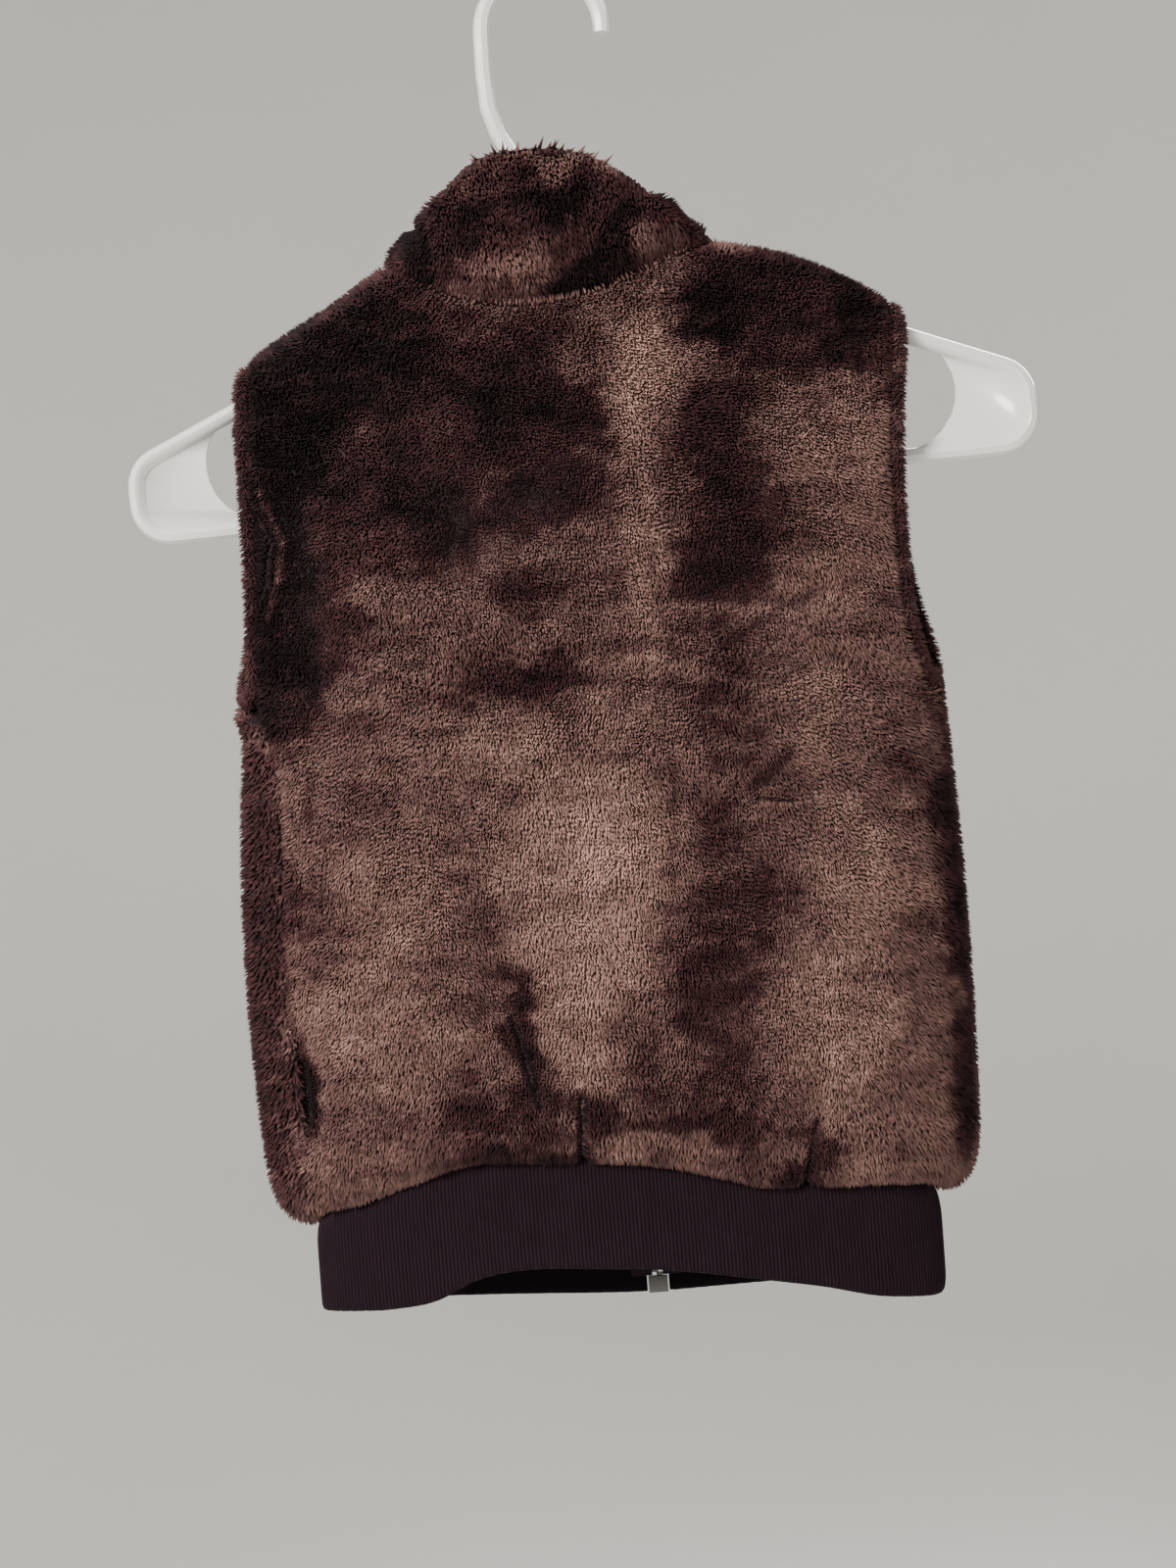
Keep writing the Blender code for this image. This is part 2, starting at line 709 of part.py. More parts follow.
def edge_frames(outer, inner, column_or_row):
    """For an edge of a wall: its middle points, and the directions away from the wall."""
    if column_or_row == "left":
        edge_out, edge_in, next_out, next_in = outer[:, 0], inner[:, 0], outer[:, 1], inner[:, 1]
    elif column_or_row == "right":
        edge_out, edge_in, next_out, next_in = outer[:, -1], inner[:, -1], outer[:, -2], inner[:, -2]
    else:
        edge_out, edge_in, next_out, next_in = outer[-1], inner[-1], outer[-2], inner[-2]
    middle = (edge_out + edge_in) / 2
    behind = (next_out + next_in) / 2
    away = []
    for k in range(len(middle)):
        tangent = unit(middle[min(k + 1, len(middle) - 1)] - middle[max(k - 1, 0)])
        through = unit(edge_out[k] - edge_in[k])
        direction = unit(np.cross(tangent, through))
        if direction @ (middle[k] - behind[k]) < 0:
            direction = -direction
        away.append(direction)
    return middle, np.array(away)


def rounded_corner(before, corner, after, count):
    """Points of a smooth turn from one place to another past a corner."""
    found = []
    for k in range(1, count):
        t = k / count
        found.append((1 - t) ** 2 * before + 2 * t * (1 - t) * corner + t * t * after)
    return found


def tube_object(name, points, radius, closed, material, collection):
    """A round tube along points in millimetres."""
    curve = bpy.data.curves.new(name, "CURVE")
    curve.dimensions = "3D"
    curve.bevel_depth = radius * MM
    curve.bevel_resolution = TUBE_SIDES_RESOLUTION
    curve.use_fill_caps = not closed
    spline = curve.splines.new("POLY")
    spline.points.add(len(points) - 1)
    for place, point in zip(spline.points, points):
        place.co = (point[0] * MM, point[1] * MM, point[2] * MM, 1.0)
    spline.use_cyclic_u = closed
    spline.use_smooth = True
    curve.materials.append(material)
    obj = bpy.data.objects.new(name, curve)
    collection.objects.link(obj)
    return obj


def armhole_trim(name, back_edge, front_edge, material, collection):
    """The rolled edge that lies just off both panels round an armhole."""
    reach = TRIM_RADIUS + TRIM_GAP
    back_places = (back_edge[0] + back_edge[1] * reach)[SEAM_ROWS + 1 :]
    front_places = (front_edge[0] + front_edge[1] * reach)[SEAM_ROWS + 1 :][::-1]
    foot = (back_edge[0][SEAM_ROWS] + front_edge[0][SEAM_ROWS]) / 2
    lift = unit(back_edge[1][SEAM_ROWS + 1] + front_edge[1][SEAM_ROWS + 1])
    shoulder = (back_places[-1] + front_places[0]) / 2
    loop = list(back_places[:-1]) + [shoulder] + list(front_places[1:])
    corner = foot + lift * reach * TRIM_FOOT_LIFT
    loop += rounded_corner(front_places[-1], corner, back_places[0], TRIM_FOOT_STEPS)
    return tube_object(name, loop, TRIM_RADIUS, True, material, collection)


def band_turns():
    """Turns of the ribs' ridges and valleys, evenly spaced round the band."""
    gap = turn_gap(FRONT_GAP / 2)
    dense = np.linspace(-2.0 + gap, 2.0 - gap, RIB_SAMPLES)
    places = np.array([band_point(t, 0.0) for t in dense])
    length = np.concatenate(([0.0], np.cumsum(np.linalg.norm(np.diff(places, axis=0), axis=1))))
    inner_count = int(round(length[-1] / (RIB_PITCH * RIBS_PER_INNER_COLUMN)))
    outer_count = inner_count * RIBS_PER_INNER_COLUMN * 2
    outer = np.interp(np.linspace(0, length[-1], outer_count + 1), length, dense)
    inner = np.interp(np.linspace(0, length[-1], inner_count + 1), length, dense)
    return outer, inner


def turn_gap(across):
    """The turn from the middle of the front that gives this distance across."""
    half = (BAND_RIGHT - BAND_LEFT) / 2
    return math.asin((across / half) ** (1.0 / ROUND_ACROSS)) / (math.pi / 2)


def hem_band(hem_nets, material, collection):
    """The ribbed band, whose top follows the panels' lower edges."""
    edge = sorted({(float(p[0]), float(p[1])) for net in hem_nets for p in net[0]})
    keys = [p[0] for p in edge]
    tops = [p[1] for p in edge]
    outer_turns, inner_turns = band_turns()
    grids = []
    for turns, inset in ((outer_turns, 0.0), (inner_turns, BAND_WALL)):
        rows = np.zeros((2, len(turns), 3))
        for j, turn in enumerate(turns):
            rib = RIB_HEIGHT * (j % 2) if inset == 0.0 else 0.0
            across = band_point(turn, inset + rib)
            top = float(np.interp(turn, keys, tops)) - 2.0 * SEAM_GAP
            rows[0, j] = (across[0], across[1], hem_bottom(turn))
            rows[1, j] = (across[0], across[1], top)
        grids.append(rows)
    return wall_object("hem_band", grids[0], grids[1], material, collection)


def collar_turn(x, front):
    s = (x - (NECK_LEFT + NECK_RIGHT) / 2) / ((NECK_RIGHT - NECK_LEFT) / 2)
    s = math.copysign(min(abs(s), 1.0) ** (1.0 / ROUND_ACROSS), s)
    turn = math.asin(s) / (math.pi / 2)
    if not front:
        return turn
    return 2.0 - turn if s > 0 else -2.0 - turn


def collar_ring(turn, inset, lowered):
    c = cosine(turn, ROUND_DEEP)
    deep = COLLAR_BACK if c > 0 else COLLAR_FRONT
    x = COLLAR_MIDDLE + (COLLAR_HALF_WIDTH - inset) * sine(turn)
    return np.array((x, -c * (deep - inset), smooth_table(COLLAR_TOP, 1, turn) - lowered))


def neck_edge(panels):
    """The collar's foot: outer and inner points just off the panels' neck edges, with their turns."""
    foot = []
    for name in ("front_left", "back", "front_right"):
        outer, inner = panels[name]
        _, away = edge_frames(outer, inner, "top")
        last = outer.shape[1] - 1
        if name == "back":
            columns = range(SHOULDER_COLUMNS + 1, SHOULDER_COLUMNS + NECK_COLUMNS)
        elif name == "front_left":
            columns = range(last, SHOULDER_COLUMNS - 1, -1)
        else:
            columns = range(SHOULDER_COLUMNS, last + 1)
        for j in columns:
            lift = away[j] * COLLAR_GAP
            turn = collar_turn(outer[-1, j, 0], name != "back")
            foot.append((outer[-1, j] + lift, inner[-1, j] + lift, turn))
    return foot


def collar(panels, material, collection):
    """The stand-up collar, which starts on the panels' neck edges."""
    foot = neck_edge(panels)
    rows_out = []
    rows_in = []
    for i in range(COLLAR_ROWS):
        v = i / (COLLAR_ROWS - 1)
        row_out = []
        row_in = []
        for foot_out, foot_in, turn in foot:
            out_point = mix(foot_out, collar_ring(turn, 0.0, COLLAR_ROUNDING), v)
            in_point = mix(foot_in, collar_ring(turn, COLLAR_WALL, COLLAR_ROUNDING), v)
            swell = math.sin(math.pi * v)
            facing = unit(np.array((sine(turn) * COLLAR_SIDE_FACING, -cosine(turn, 1.0), 0.0)))
            fold = 0.0
            if facing[1] < 0:
                fold = relief(COLLAR_FOLDS, out_point[0], out_point[2])
                fold *= math.sin(math.pi * min(v + COLLAR_FOLD_START, 1.0))
            row_out.append(out_point + facing * (COLLAR_BULGE * swell + fold))
            row_in.append(in_point + facing * COLLAR_INNER_BULGE * swell)
        rows_out.append(row_out)
        rows_in.append(row_in)
    rounded_in = COLLAR_WALL * COLLAR_ROUNDED_SHARE
    rows_out.append([collar_ring(turn, rounded_in, 0.0) for _, _, turn in foot])
    rows_in.append([collar_ring(turn, COLLAR_WALL - rounded_in, 0.0) for _, _, turn in foot])
    outer = np.array(rows_out)
    inner = np.array(rows_in)
    middle = (outer[0, 0, 0] + outer[0, -1, 0]) / 2
    for grid in (outer, inner):
        grid[:, 0, 0] = middle - FRONT_GAP / 2
        grid[:, -1, 0] = middle + FRONT_GAP / 2
    panels["collar"] = (outer, inner)
    return wall_object("collar", outer, inner, material, collection)


def shallowest(row_left, row_right):
    """The middle of the gap between two edges, as deep as the cloth is within the tapes' reach."""
    edge_left = row_left[0]
    edge_right = row_right[0]
    middle = (edge_left + edge_right) / 2
    reach = TAPE_EDGE + TAPE_WIDTH + TAPE_CLEAR
    depths = [edge_left[1], edge_right[1]]
    for row in (row_left, row_right):
        depths += [p[1] for p in row if abs(p[0] - middle[0]) < reach]
        beyond = [p for p in row if abs(p[0] - middle[0]) >= reach]
        edge = [p for p in row if abs(p[0] - middle[0]) < reach][-1]
        share = (reach - abs(edge[0] - middle[0])) / (abs(beyond[0][0] - middle[0]) - abs(edge[0] - middle[0]))
        depths.append(mix(edge[1], beyond[0][1], share))
    return np.array((middle[0], min(depths), middle[2]))


def zip_path(panels):
    """The line of the zip from the band's foot to the collar's top, on the inner side of the cloth."""
    foot = band_point(2.0, BAND_WALL + TAPE_FOOT_IN)
    line = [np.array((foot[0], foot[1], hem_bottom(2.0)))]
    left = panels["front_left"][1]
    right = panels["front_right"][1]
    for i in range(left.shape[0]):
        line.append(shallowest(left[i, ::-1], right[i, ::-1]))
    for row in panels["collar"][1][:-1]:
        line.append(shallowest(row[:FRONT_NECK_COLUMNS], row[::-1][:FRONT_NECK_COLUMNS]))
    return np.array(line)


def at_height(line, z):
    heights = line[:, 2]
    return np.array([np.interp(z, heights, line[:, axis]) for axis in range(3)])


def strip(name, line, z_from, z_to, x_from, x_to, front, back, material, collection):
    """A flat strip along the zip's line, between two distances across and two depths."""
    heights = [z for z in line[:, 2] if z_from < z < z_to]
    heights = [z_from] + heights + [z_to]
    outer = np.zeros((len(heights), 2, 3))
    inner = np.zeros((len(heights), 2, 3))
    for i, z in enumerate(heights):
        centre = at_height(line, z)
        ahead = at_height(line, z + TANGENT_STEP)
        before = at_height(line, z - TANGENT_STEP)
        tangent = unit(ahead - before)
        normal = unit(np.cross(tangent, np.array((1.0, 0.0, 0.0))))
        if normal[1] < 0:
            normal = -normal
        for j, x in enumerate((x_from, x_to)):
            across = np.array((x, 0.0, 0.0))
            outer[i, j] = centre + across + normal * front
            inner[i, j] = centre + across + normal * back
    return wall_object(name, outer, inner, material, collection)


def block(shaped, x, y, z):
    """Adds a box to a bmesh, from ranges in millimetres."""
    made = bmesh.ops.create_cube(shaped, size=1.0)
    for vertex in made["verts"]:
        vertex.co.x = mix(x[0], x[1], vertex.co.x + 0.5) * MM
        vertex.co.y = mix(y[0], y[1], vertex.co.y + 0.5) * MM
        vertex.co.z = mix(z[0], z[1], vertex.co.z + 0.5) * MM


def joined(name, parts, material, collection, cutters):
    """One body of boxes joined with Boolean unions, whose origin is its object's."""
    base = None
    for number, part in enumerate(parts):
        mesh = bpy.data.meshes.new(f"{name}_{number}")
        shaped = bmesh.new()
        block(shaped, *part)
        shaped.to_mesh(mesh)
        shaped.free()
        mesh.materials.append(material)
        if base is None:
            base = bpy.data.objects.new(name, mesh)
            collection.objects.link(base)
            continue
        helper = bpy.data.objects.new(f"{name}_{number}", mesh)
        cutters.objects.link(helper)
        helper.hide_render = True
        helper.display_type = "WIRE"
        helper.parent = base
        union = base.modifiers.new(f"join_{number}", "BOOLEAN")
        union.operation = "UNION"
        union.object = helper
    return base


def zip_hardware(line, collar_top, materials, collection, cutters):
    metal = materials["zip_metal"]
    half = SLIDER_LENGTH / 2
    centre_z = collar_top - SLIDER_BELOW_COLLAR
    place = at_height(line, centre_z)
    plate_front = SLIDER_SLOT_FRONT + SLIDER_PLATE
    width = SLIDER_WIDTH / 2
    post = SLIDER_POST_WIDTH / 2
    bail = BAIL_WIDTH / 2
    foot = BAIL_LENGTH / 2
    over = plate_front + BAIL_HEIGHT
    leg = (plate_front - JOIN_OVERLAP, over - JOIN_OVERLAP)
    post_deep = (SLIDER_SLOT_BACK - JOIN_OVERLAP, SLIDER_SLOT_FRONT + JOIN_OVERLAP)
    post_top = half - SLIDER_POST_DOWN
    slider = joined(
        "zip_slider",
        (
            ((-width, width), (SLIDER_SLOT_FRONT, plate_front), (-half, half)),
            ((-width, width), (SLIDER_SLOT_BACK - SLIDER_PLATE, SLIDER_SLOT_BACK), (-half, half)),
            ((-post, post), post_deep, (post_top - SLIDER_POST_LENGTH, post_top)),
            ((-bail, bail), leg, (-foot, -foot + BAIL_WALL)),
            ((-bail, bail), leg, (foot - BAIL_WALL, foot)),
            ((-bail, bail), (over - BAIL_WALL, over), (-foot, foot)),
        ),
        metal,
        collection,
        cutters,
    )
    slider.location = tuple(p * MM for p in place)
    bar_y = plate_front + PULL_BAR_RISE
    bar_z = -foot + BAIL_WALL + PULL_BAR_GAP + PULL_BAR / 2
    wide = PULL_WIDTH / 2
    eye = PULL_EYE_WIDTH / 2
    thick = PULL_THICKNESS / 2
    bar = PULL_BAR / 2
    eye_foot = bar - PULL_EYE_LENGTH
    pull = joined(
        "zip_pull",
        (
            ((-wide, wide), (-thick, thick), (-PULL_LENGTH, eye_foot)),
            ((-wide, -eye), (-thick, thick), (eye_foot - JOIN_OVERLAP, bar)),
            ((eye, wide), (-thick, thick), (eye_foot - JOIN_OVERLAP, bar)),
            ((-eye - JOIN_OVERLAP, eye + JOIN_OVERLAP), (-bar, bar), (-bar, bar)),
        ),
        metal,
        collection,
        cutters,
    )
    pull.location = (place[0] * MM, (place[1] + bar_y) * MM, (place[2] + bar_z) * MM)
    foot_place = at_height(line, hem_bottom(2.0))
    box = joined(
        "zip_box",
        (
            (
                (-BOX_WIDTH / 2, BOX_WIDTH / 2),
                (-BOX_THICKNESS / 2, BOX_THICKNESS / 2),
                (0.0, BOX_HEIGHT),
            ),
        ),
        metal,
        collection,
        cutters,
    )
    box.location = tuple(p * MM for p in foot_place)
    return centre_z - half


def rounded(corners, radii, steps):
    """A closed outline through corners, each rounded by an arc of its own radius."""
    found = []
    count = len(corners)
    for k in range(count):
        corner = np.array(corners[k])
        before = unit(np.array(corners[k - 1]) - corner)
        after = unit(np.array(corners[(k + 1) % count]) - corner)
        angle = math.acos(max(-1.0, min(1.0, float(before @ after))))
        reach = radii[k] / math.tan(angle / 2)
        centre = corner + unit(before + after) * radii[k] / math.sin(angle / 2)
        start = corner + before * reach - centre
        end = corner + after * reach - centre
        a0 = math.atan2(start[1], start[0])
        turn = math.atan2(start[0] * end[1] - start[1] * end[0], float(start @ end))
        for s in range(steps[k] + 1):
            a = a0 + turn * s / steps[k]
            found.append(centre + radii[k] * np.array((math.cos(a), math.sin(a))))
    return found


def tilted(x, z):
    """A place of the level hanger, turned by its tilt about the foot of its hook."""
    dx = x
    dz = z - HANGER_APEX
    turned_x = dx * math.cos(HANGER_TILT) - dz * math.sin(HANGER_TILT)
    turned_z = dx * math.sin(HANGER_TILT) + dz * math.cos(HANGER_TILT)
    return (HANGER_X + turned_x, turned_z + HANGER_APEX)


def as_mesh(curve_object, collection):
    """Makes a curve object a mesh with welded caps, and removes the curve."""
    graph = bpy.context.evaluated_depsgraph_get()
    mesh = bpy.data.meshes.new_from_object(curve_object.evaluated_get(graph))
    shaped = bmesh.new()
    shaped.from_mesh(mesh)
    bmesh.ops.remove_doubles(shaped, verts=shaped.verts, dist=1e-6)
    bmesh.ops.recalc_face_normals(shaped, faces=shaped.faces)
    shaped.to_mesh(mesh)
    shaped.free()
    name = curve_object.name
    bpy.data.objects.remove(curve_object)
    obj = bpy.data.objects.new(name, mesh)
    collection.objects.link(obj)
    return obj


def hanger(material, collection, cutters):
    radius = HANGER_TUBE_RADIUS
    slope = HANGER_SLOPE
    top = HANGER_APEX - radius / math.cos(slope)
    low = HANGER_BOTTOM + radius
    end = HANGER_HALF_LENGTH - radius
    shoulder = top - end * math.tan(slope)
    corners = ((0.0, top), (end, shoulder), (end, low), (-end, low), (-end, shoulder))
    radii = (HANGER_TOP_RADIUS, HANGER_END_RADIUS, HANGER_END_RADIUS, HANGER_END_RADIUS, HANGER_END_RADIUS)
    outline = rounded(corners, radii, HANGER_CORNER_STEPS)
    turned = [tilted(x, z) for x, z in outline]
    rim = tube_object("hanger", [(x, 0.0, z) for x, z in turned], radius, True, material, collection)
    rim = as_mesh(rim, collection)
    for vertex in rim.data.vertices:
        vertex.co.y *= HANGER_TUBE_DEPTH / (2 * radius)
    pieces = []
    centre_z = HANGER_BOTTOM + 2 * radius + HANGER_HOLE_RADIUS - HANGER_HOLE_INTO_BAR
    for sign in (-1.0, 1.0):
        pieces.append(hanger_web(sign, outline, centre_z, material, cutters))
    pieces.append(hook(material, cutters))
    for number, piece in enumerate(pieces):
        piece.hide_render = True
        piece.display_type = "WIRE"
        union = rim.modifiers.new(f"join_{number}", "BOOLEAN")
        union.operation = "UNION"
        union.object = piece
    return rim


def hanger_web(sign, outline, centre_z, material, cutters):
    """The thin web that fills one end of the hanger beyond its round hole."""
    reach = HANGER_HOLE_X
    ring = [p for p in outline if p[0] * sign > reach]
    ring.sort(key=lambda p: math.atan2(p[1] - centre_z, p[0] * sign - reach))
    arc = []
    for k in range(HANGER_HOLE_STEPS + 1):
        a = math.pi / 2 - math.pi * k / HANGER_HOLE_STEPS
        x = reach + HANGER_HOLE_RADIUS * math.cos(a)
        arc.append((sign * x, centre_z + HANGER_HOLE_RADIUS * math.sin(a)))
    low = (sign * reach, HANGER_BOTTOM + HANGER_TUBE_RADIUS)
    slope_top = HANGER_APEX - HANGER_TUBE_RADIUS / math.cos(HANGER_SLOPE) - reach * math.tan(HANGER_SLOPE)
    high = (sign * reach, slope_top)
    flat = [low] + [tuple(p) for p in ring] + [high] + arc
    half = HANGER_WEB / 2
    count = len(flat)
    points = []
    for y in (-half, half):
        for x, z in flat:
            world = tilted(x, z)
            points.append((world[0], y, world[1]))
    faces = [tuple(range(count)), tuple(range(2 * count - 1, count - 1, -1))]
    for k in range(count):
        after = (k + 1) % count
        faces.append((k, after, count + after, count + k))
    return mesh_object(f"hanger_web_{'right' if sign > 0 else 'left'}", points, faces, material, cutters)


def hook(material, cutters):
    """The fixed hook: a half circle over the rod, and a stem that bends in to the bars."""
    radius = HOOK_RADIUS
    centre_z = HANGER_TUBE_RADIUS - radius
    path = []
    for k in range(HOOK_STEPS + 1):
        a = math.pi - HOOK_SWEEP + HOOK_SWEEP * k / HOOK_STEPS
        path.append((radius * math.cos(a), 0.0, centre_z + radius * math.sin(a)))
    path += [(x, 0.0, z) for x, z in HOOK_STEM]
    tube = tube_object("hanger_hook", path, HANGER_TUBE_RADIUS, False, material, cutters)
    return as_mesh(tube, cutters)


def colour_material(name, colour, roughness, metallic):
    material = bpy.data.materials.new(name)
    material.use_nodes = True
    shader = material.node_tree.nodes["Principled BSDF"]
    shader.inputs["Base Color"].default_value = (*colour, 1.0)
    shader.inputs["Roughness"].default_value = roughness
    shader.inputs["Metallic"].default_value = metallic
    return material


def build():
    for obj in list(bpy.data.objects):
        bpy.data.objects.remove(obj, do_unlink=True)
    collection = bpy.data.collections.new("faux_fur_vest")
    cutters = bpy.data.collections.new("cutters")
    for made in (collection, cutters):
        bpy.context.scene.collection.children.link(made)
    materials = {
        "fur": colour_material("fur", (0.075, 0.045, 0.052), 0.9, 0.0),
        "rib_knit": colour_material("rib_knit", (0.022, 0.014, 0.03), 0.85, 0.0),
        "zip_tape": colour_material("zip_tape", (0.02, 0.013, 0.025), 0.8, 0.0),
        "zip_metal": colour_material("zip_metal", (0.6, 0.58, 0.56), 0.3, 1.0),
        "hanger_plastic": colour_material("hanger_plastic", (0.8, 0.8, 0.78), 0.3, 0.0),
    }
    nets = {"back": back_net(), "front_left": front_net(-1.0), "front_right": front_net(1.0)}
    panels = {}
    for name, folds, side in (
        ("back", BACK_FOLDS, -1.0),
        ("front_left", FRONT_FOLDS, 1.0),
        ("front_right", FRONT_FOLDS, 1.0),
    ):
        panels[name] = walls_of(nets[name], folds, side)
        wall_object(name, *panels[name], materials["fur"], collection)
    collar(panels, materials["fur"], collection)
    hem_band(list(nets.values()), materials["rib_knit"], collection)
    for name, edge, front in (
        ("armhole_trim_left", "left", "front_left"),
        ("armhole_trim_right", "right", "front_right"),
    ):
        back_edge = edge_frames(*panels["back"], edge)
        front_edge = edge_frames(*panels[front], "left")
        armhole_trim(name, back_edge, front_edge, materials["fur"], collection)
    line = zip_path(panels)
    collar_top = float(line[-1, 2])
    slider_foot = zip_hardware(line, collar_top, materials, collection, cutters)
    foot = hem_bottom(2.0) + BOX_HEIGHT + SEAM_GAP
    for name, sign in (("zip_tape_left", -1.0), ("zip_tape_right", 1.0)):
        x_range = sorted((sign * TAPE_EDGE, sign * (TAPE_EDGE + TAPE_WIDTH)))
        strip(
            name,
            line,
            foot,
            collar_top - ZIP_TOP_BELOW_COLLAR,
            x_range[0],
            x_range[1],
            -TAPE_BEHIND,
            -TAPE_BEHIND - TAPE_THICKNESS,
            materials["zip_tape"],
            collection,
        )
    half = CHAIN_WIDTH / 2
    strip(
        "zip_chain",
        line,
        foot,
        slider_foot - SEAM_GAP,
        -half,
        half,
        CHAIN_FRONT,
        CHAIN_BACK,
        materials["zip_metal"],
        collection,
    )
    hanger(materials["hanger_plastic"], collection, cutters)


build()
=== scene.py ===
# Faux fur vest with a ribbed hem band and a front zip, hung on a plastic hanger.
# Metres, +Z up; the hook carries the vest at the origin and +Y faces out of the vest's front.
import math

import bmesh
import bpy
import numpy as np
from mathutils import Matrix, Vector
from mathutils.bvhtree import BVHTree


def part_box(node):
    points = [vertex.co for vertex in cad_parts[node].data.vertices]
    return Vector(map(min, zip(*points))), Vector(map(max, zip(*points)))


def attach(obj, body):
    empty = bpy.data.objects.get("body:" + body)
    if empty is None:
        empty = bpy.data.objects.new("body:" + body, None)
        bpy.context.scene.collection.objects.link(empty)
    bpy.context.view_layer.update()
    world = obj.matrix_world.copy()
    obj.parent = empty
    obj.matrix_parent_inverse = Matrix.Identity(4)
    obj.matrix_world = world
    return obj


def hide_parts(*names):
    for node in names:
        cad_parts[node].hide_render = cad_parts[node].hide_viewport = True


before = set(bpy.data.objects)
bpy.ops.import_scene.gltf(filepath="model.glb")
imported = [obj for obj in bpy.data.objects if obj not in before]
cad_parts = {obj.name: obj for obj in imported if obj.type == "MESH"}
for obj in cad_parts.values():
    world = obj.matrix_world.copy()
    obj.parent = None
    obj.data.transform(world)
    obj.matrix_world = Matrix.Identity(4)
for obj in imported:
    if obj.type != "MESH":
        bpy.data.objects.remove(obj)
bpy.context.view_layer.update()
mm = 0.001


# Camera and light

view = {
    "place": (-5.7, -1150.0, -370.0),  # mm
    "roll": math.radians(4.5),
    "lens": 57.67,  # mm on a 36 mm sensor, which takes in 718 mm of height at the hanger
    "sensor": 36.0,  # mm
    "farEnd": 20.0,  # m
}
studio = {
    "floor": -1.42,  # m
    "radius": 3.4,
    "corner": 1.1,  # radius with which the floor turns up into the wall
    "cornerSteps": 8,
    "wallTop": 1.7,
    "turnSteps": 64,
    "world": 0.27,
    "sky": (0.86, 0.85, 0.84, 1.0),
    # name, place (m), size (m), power (W), colour
    "lights": (
        ("keyLight", (-1.15, -1.75, 0.65), 0.8, 73.0, (1.0, 0.985, 0.96)),
        ("fillLight", (1.7, -1.5, -0.1), 1.3, 3.0, (0.97, 0.98, 1.0)),
        ("frontLight", (0.6, 1.9, 0.6), 1.2, 36.0, (1.0, 0.99, 0.97)),
        ("topLight", (0.0, 0.0, 1.5), 1.2, 6.0, (1.0, 1.0, 1.0)),
    ),
    "aim": (0.0, 0.0, -0.34),
}


def addCamera():
    lens = bpy.data.cameras.new("camera")
    lens.sensor_width = view["sensor"]
    lens.lens = view["lens"]
    lens.clip_end = view["farEnd"]
    camera = bpy.data.objects.new("camera", lens)
    camera.location = [p * mm for p in view["place"]]
    camera.rotation_euler = (math.pi / 2, view["roll"], 0.0)
    bpy.context.scene.collection.objects.link(camera)
    bpy.context.scene.camera = camera


def addLights():
    for name, place, size, power, colour in studio["lights"]:
        lamp = bpy.data.lights.new(name, "AREA")
        lamp.shape = "DISK"
        lamp.size = size
        lamp.energy = power
        lamp.color = colour
        light = bpy.data.objects.new(name, lamp)
        light.location = place
        aim = Vector(studio["aim"]) - Vector(place)
        light.rotation_euler = aim.to_track_quat("-Z", "Y").to_euler()
        bpy.context.scene.collection.objects.link(light)
    world = bpy.data.worlds.new("studio")
    world.use_nodes = True
    sky = world.node_tree.nodes["Background"]
    sky.inputs["Color"].default_value = studio["sky"]
    sky.inputs["Strength"].default_value = studio["world"]
    bpy.context.scene.world = world


# Materials


def socketFor(tree, value, socket):
    if isinstance(value, bpy.types.NodeSocket):
        tree.links.new(value, socket)
    else:
        socket.default_value = value


def addNode(tree, kind, inputs=None, **settings):
    node = tree.nodes.new(kind)
    for name, value in settings.items():
        setattr(node, name, value)
    for name, value in (inputs or {}).items():
        socketFor(tree, value, node.inputs[name])
    return node


def addMath(tree, operation, first, second):
    node = addNode(tree, "ShaderNodeMath", operation=operation)
    socketFor(tree, first, node.inputs[0])
    socketFor(tree, second, node.inputs[1])
    return node.outputs[0]


def addScaled(tree, value, factor, offset):
    scaled = addMath(tree, "MULTIPLY_ADD", value, factor)
    scaled.node.inputs[2].default_value = offset
    return scaled


def addTint(tree, colour, mask):
    # A colour, darker or lighter by the mask.
    node = addNode(tree, "ShaderNodeMix", data_type="RGBA", blend_type="MULTIPLY")
    socketFor(tree, 1.0, node.inputs[0])
    socketFor(tree, colour, node.inputs[6])
    socketFor(tree, mask, node.inputs[7])
    return node.outputs[2]


def newMaterial(name):
    material = bpy.data.materials.new(name)
    material.use_nodes = True
    return material, material.node_tree, material.node_tree.nodes["Principled BSDF"]


def mottleGroup():
    # Soft and fine unevenness of a cloth, as one mask round 1.
    group = bpy.data.node_groups.new("clothMottle", "ShaderNodeTree")
    for name in ("Size", "Amount"):
        group.interface.new_socket(name, in_out="INPUT", socket_type="NodeSocketFloat")
    group.interface.new_socket("Mask", in_out="OUTPUT", socket_type="NodeSocketFloat")
    start = group.nodes.new("NodeGroupInput")
    end = group.nodes.new("NodeGroupOutput")
    place = group.nodes.new("ShaderNodeTexCoord")
    scale = addMath(group, "DIVIDE", 1.0, start.outputs["Size"])
    noise = addNode(
        group,
        "ShaderNodeTexNoise",
        {"Vector": place.outputs["Object"], "Scale": scale, "Detail": 4.0},
    )
    centred = addMath(group, "SUBTRACT", noise.outputs["Fac"], 0.5)
    spread = addMath(group, "MULTIPLY", centred, start.outputs["Amount"])
    group.links.new(addMath(group, "ADD", spread, 1.0), end.inputs["Mask"])
    return group


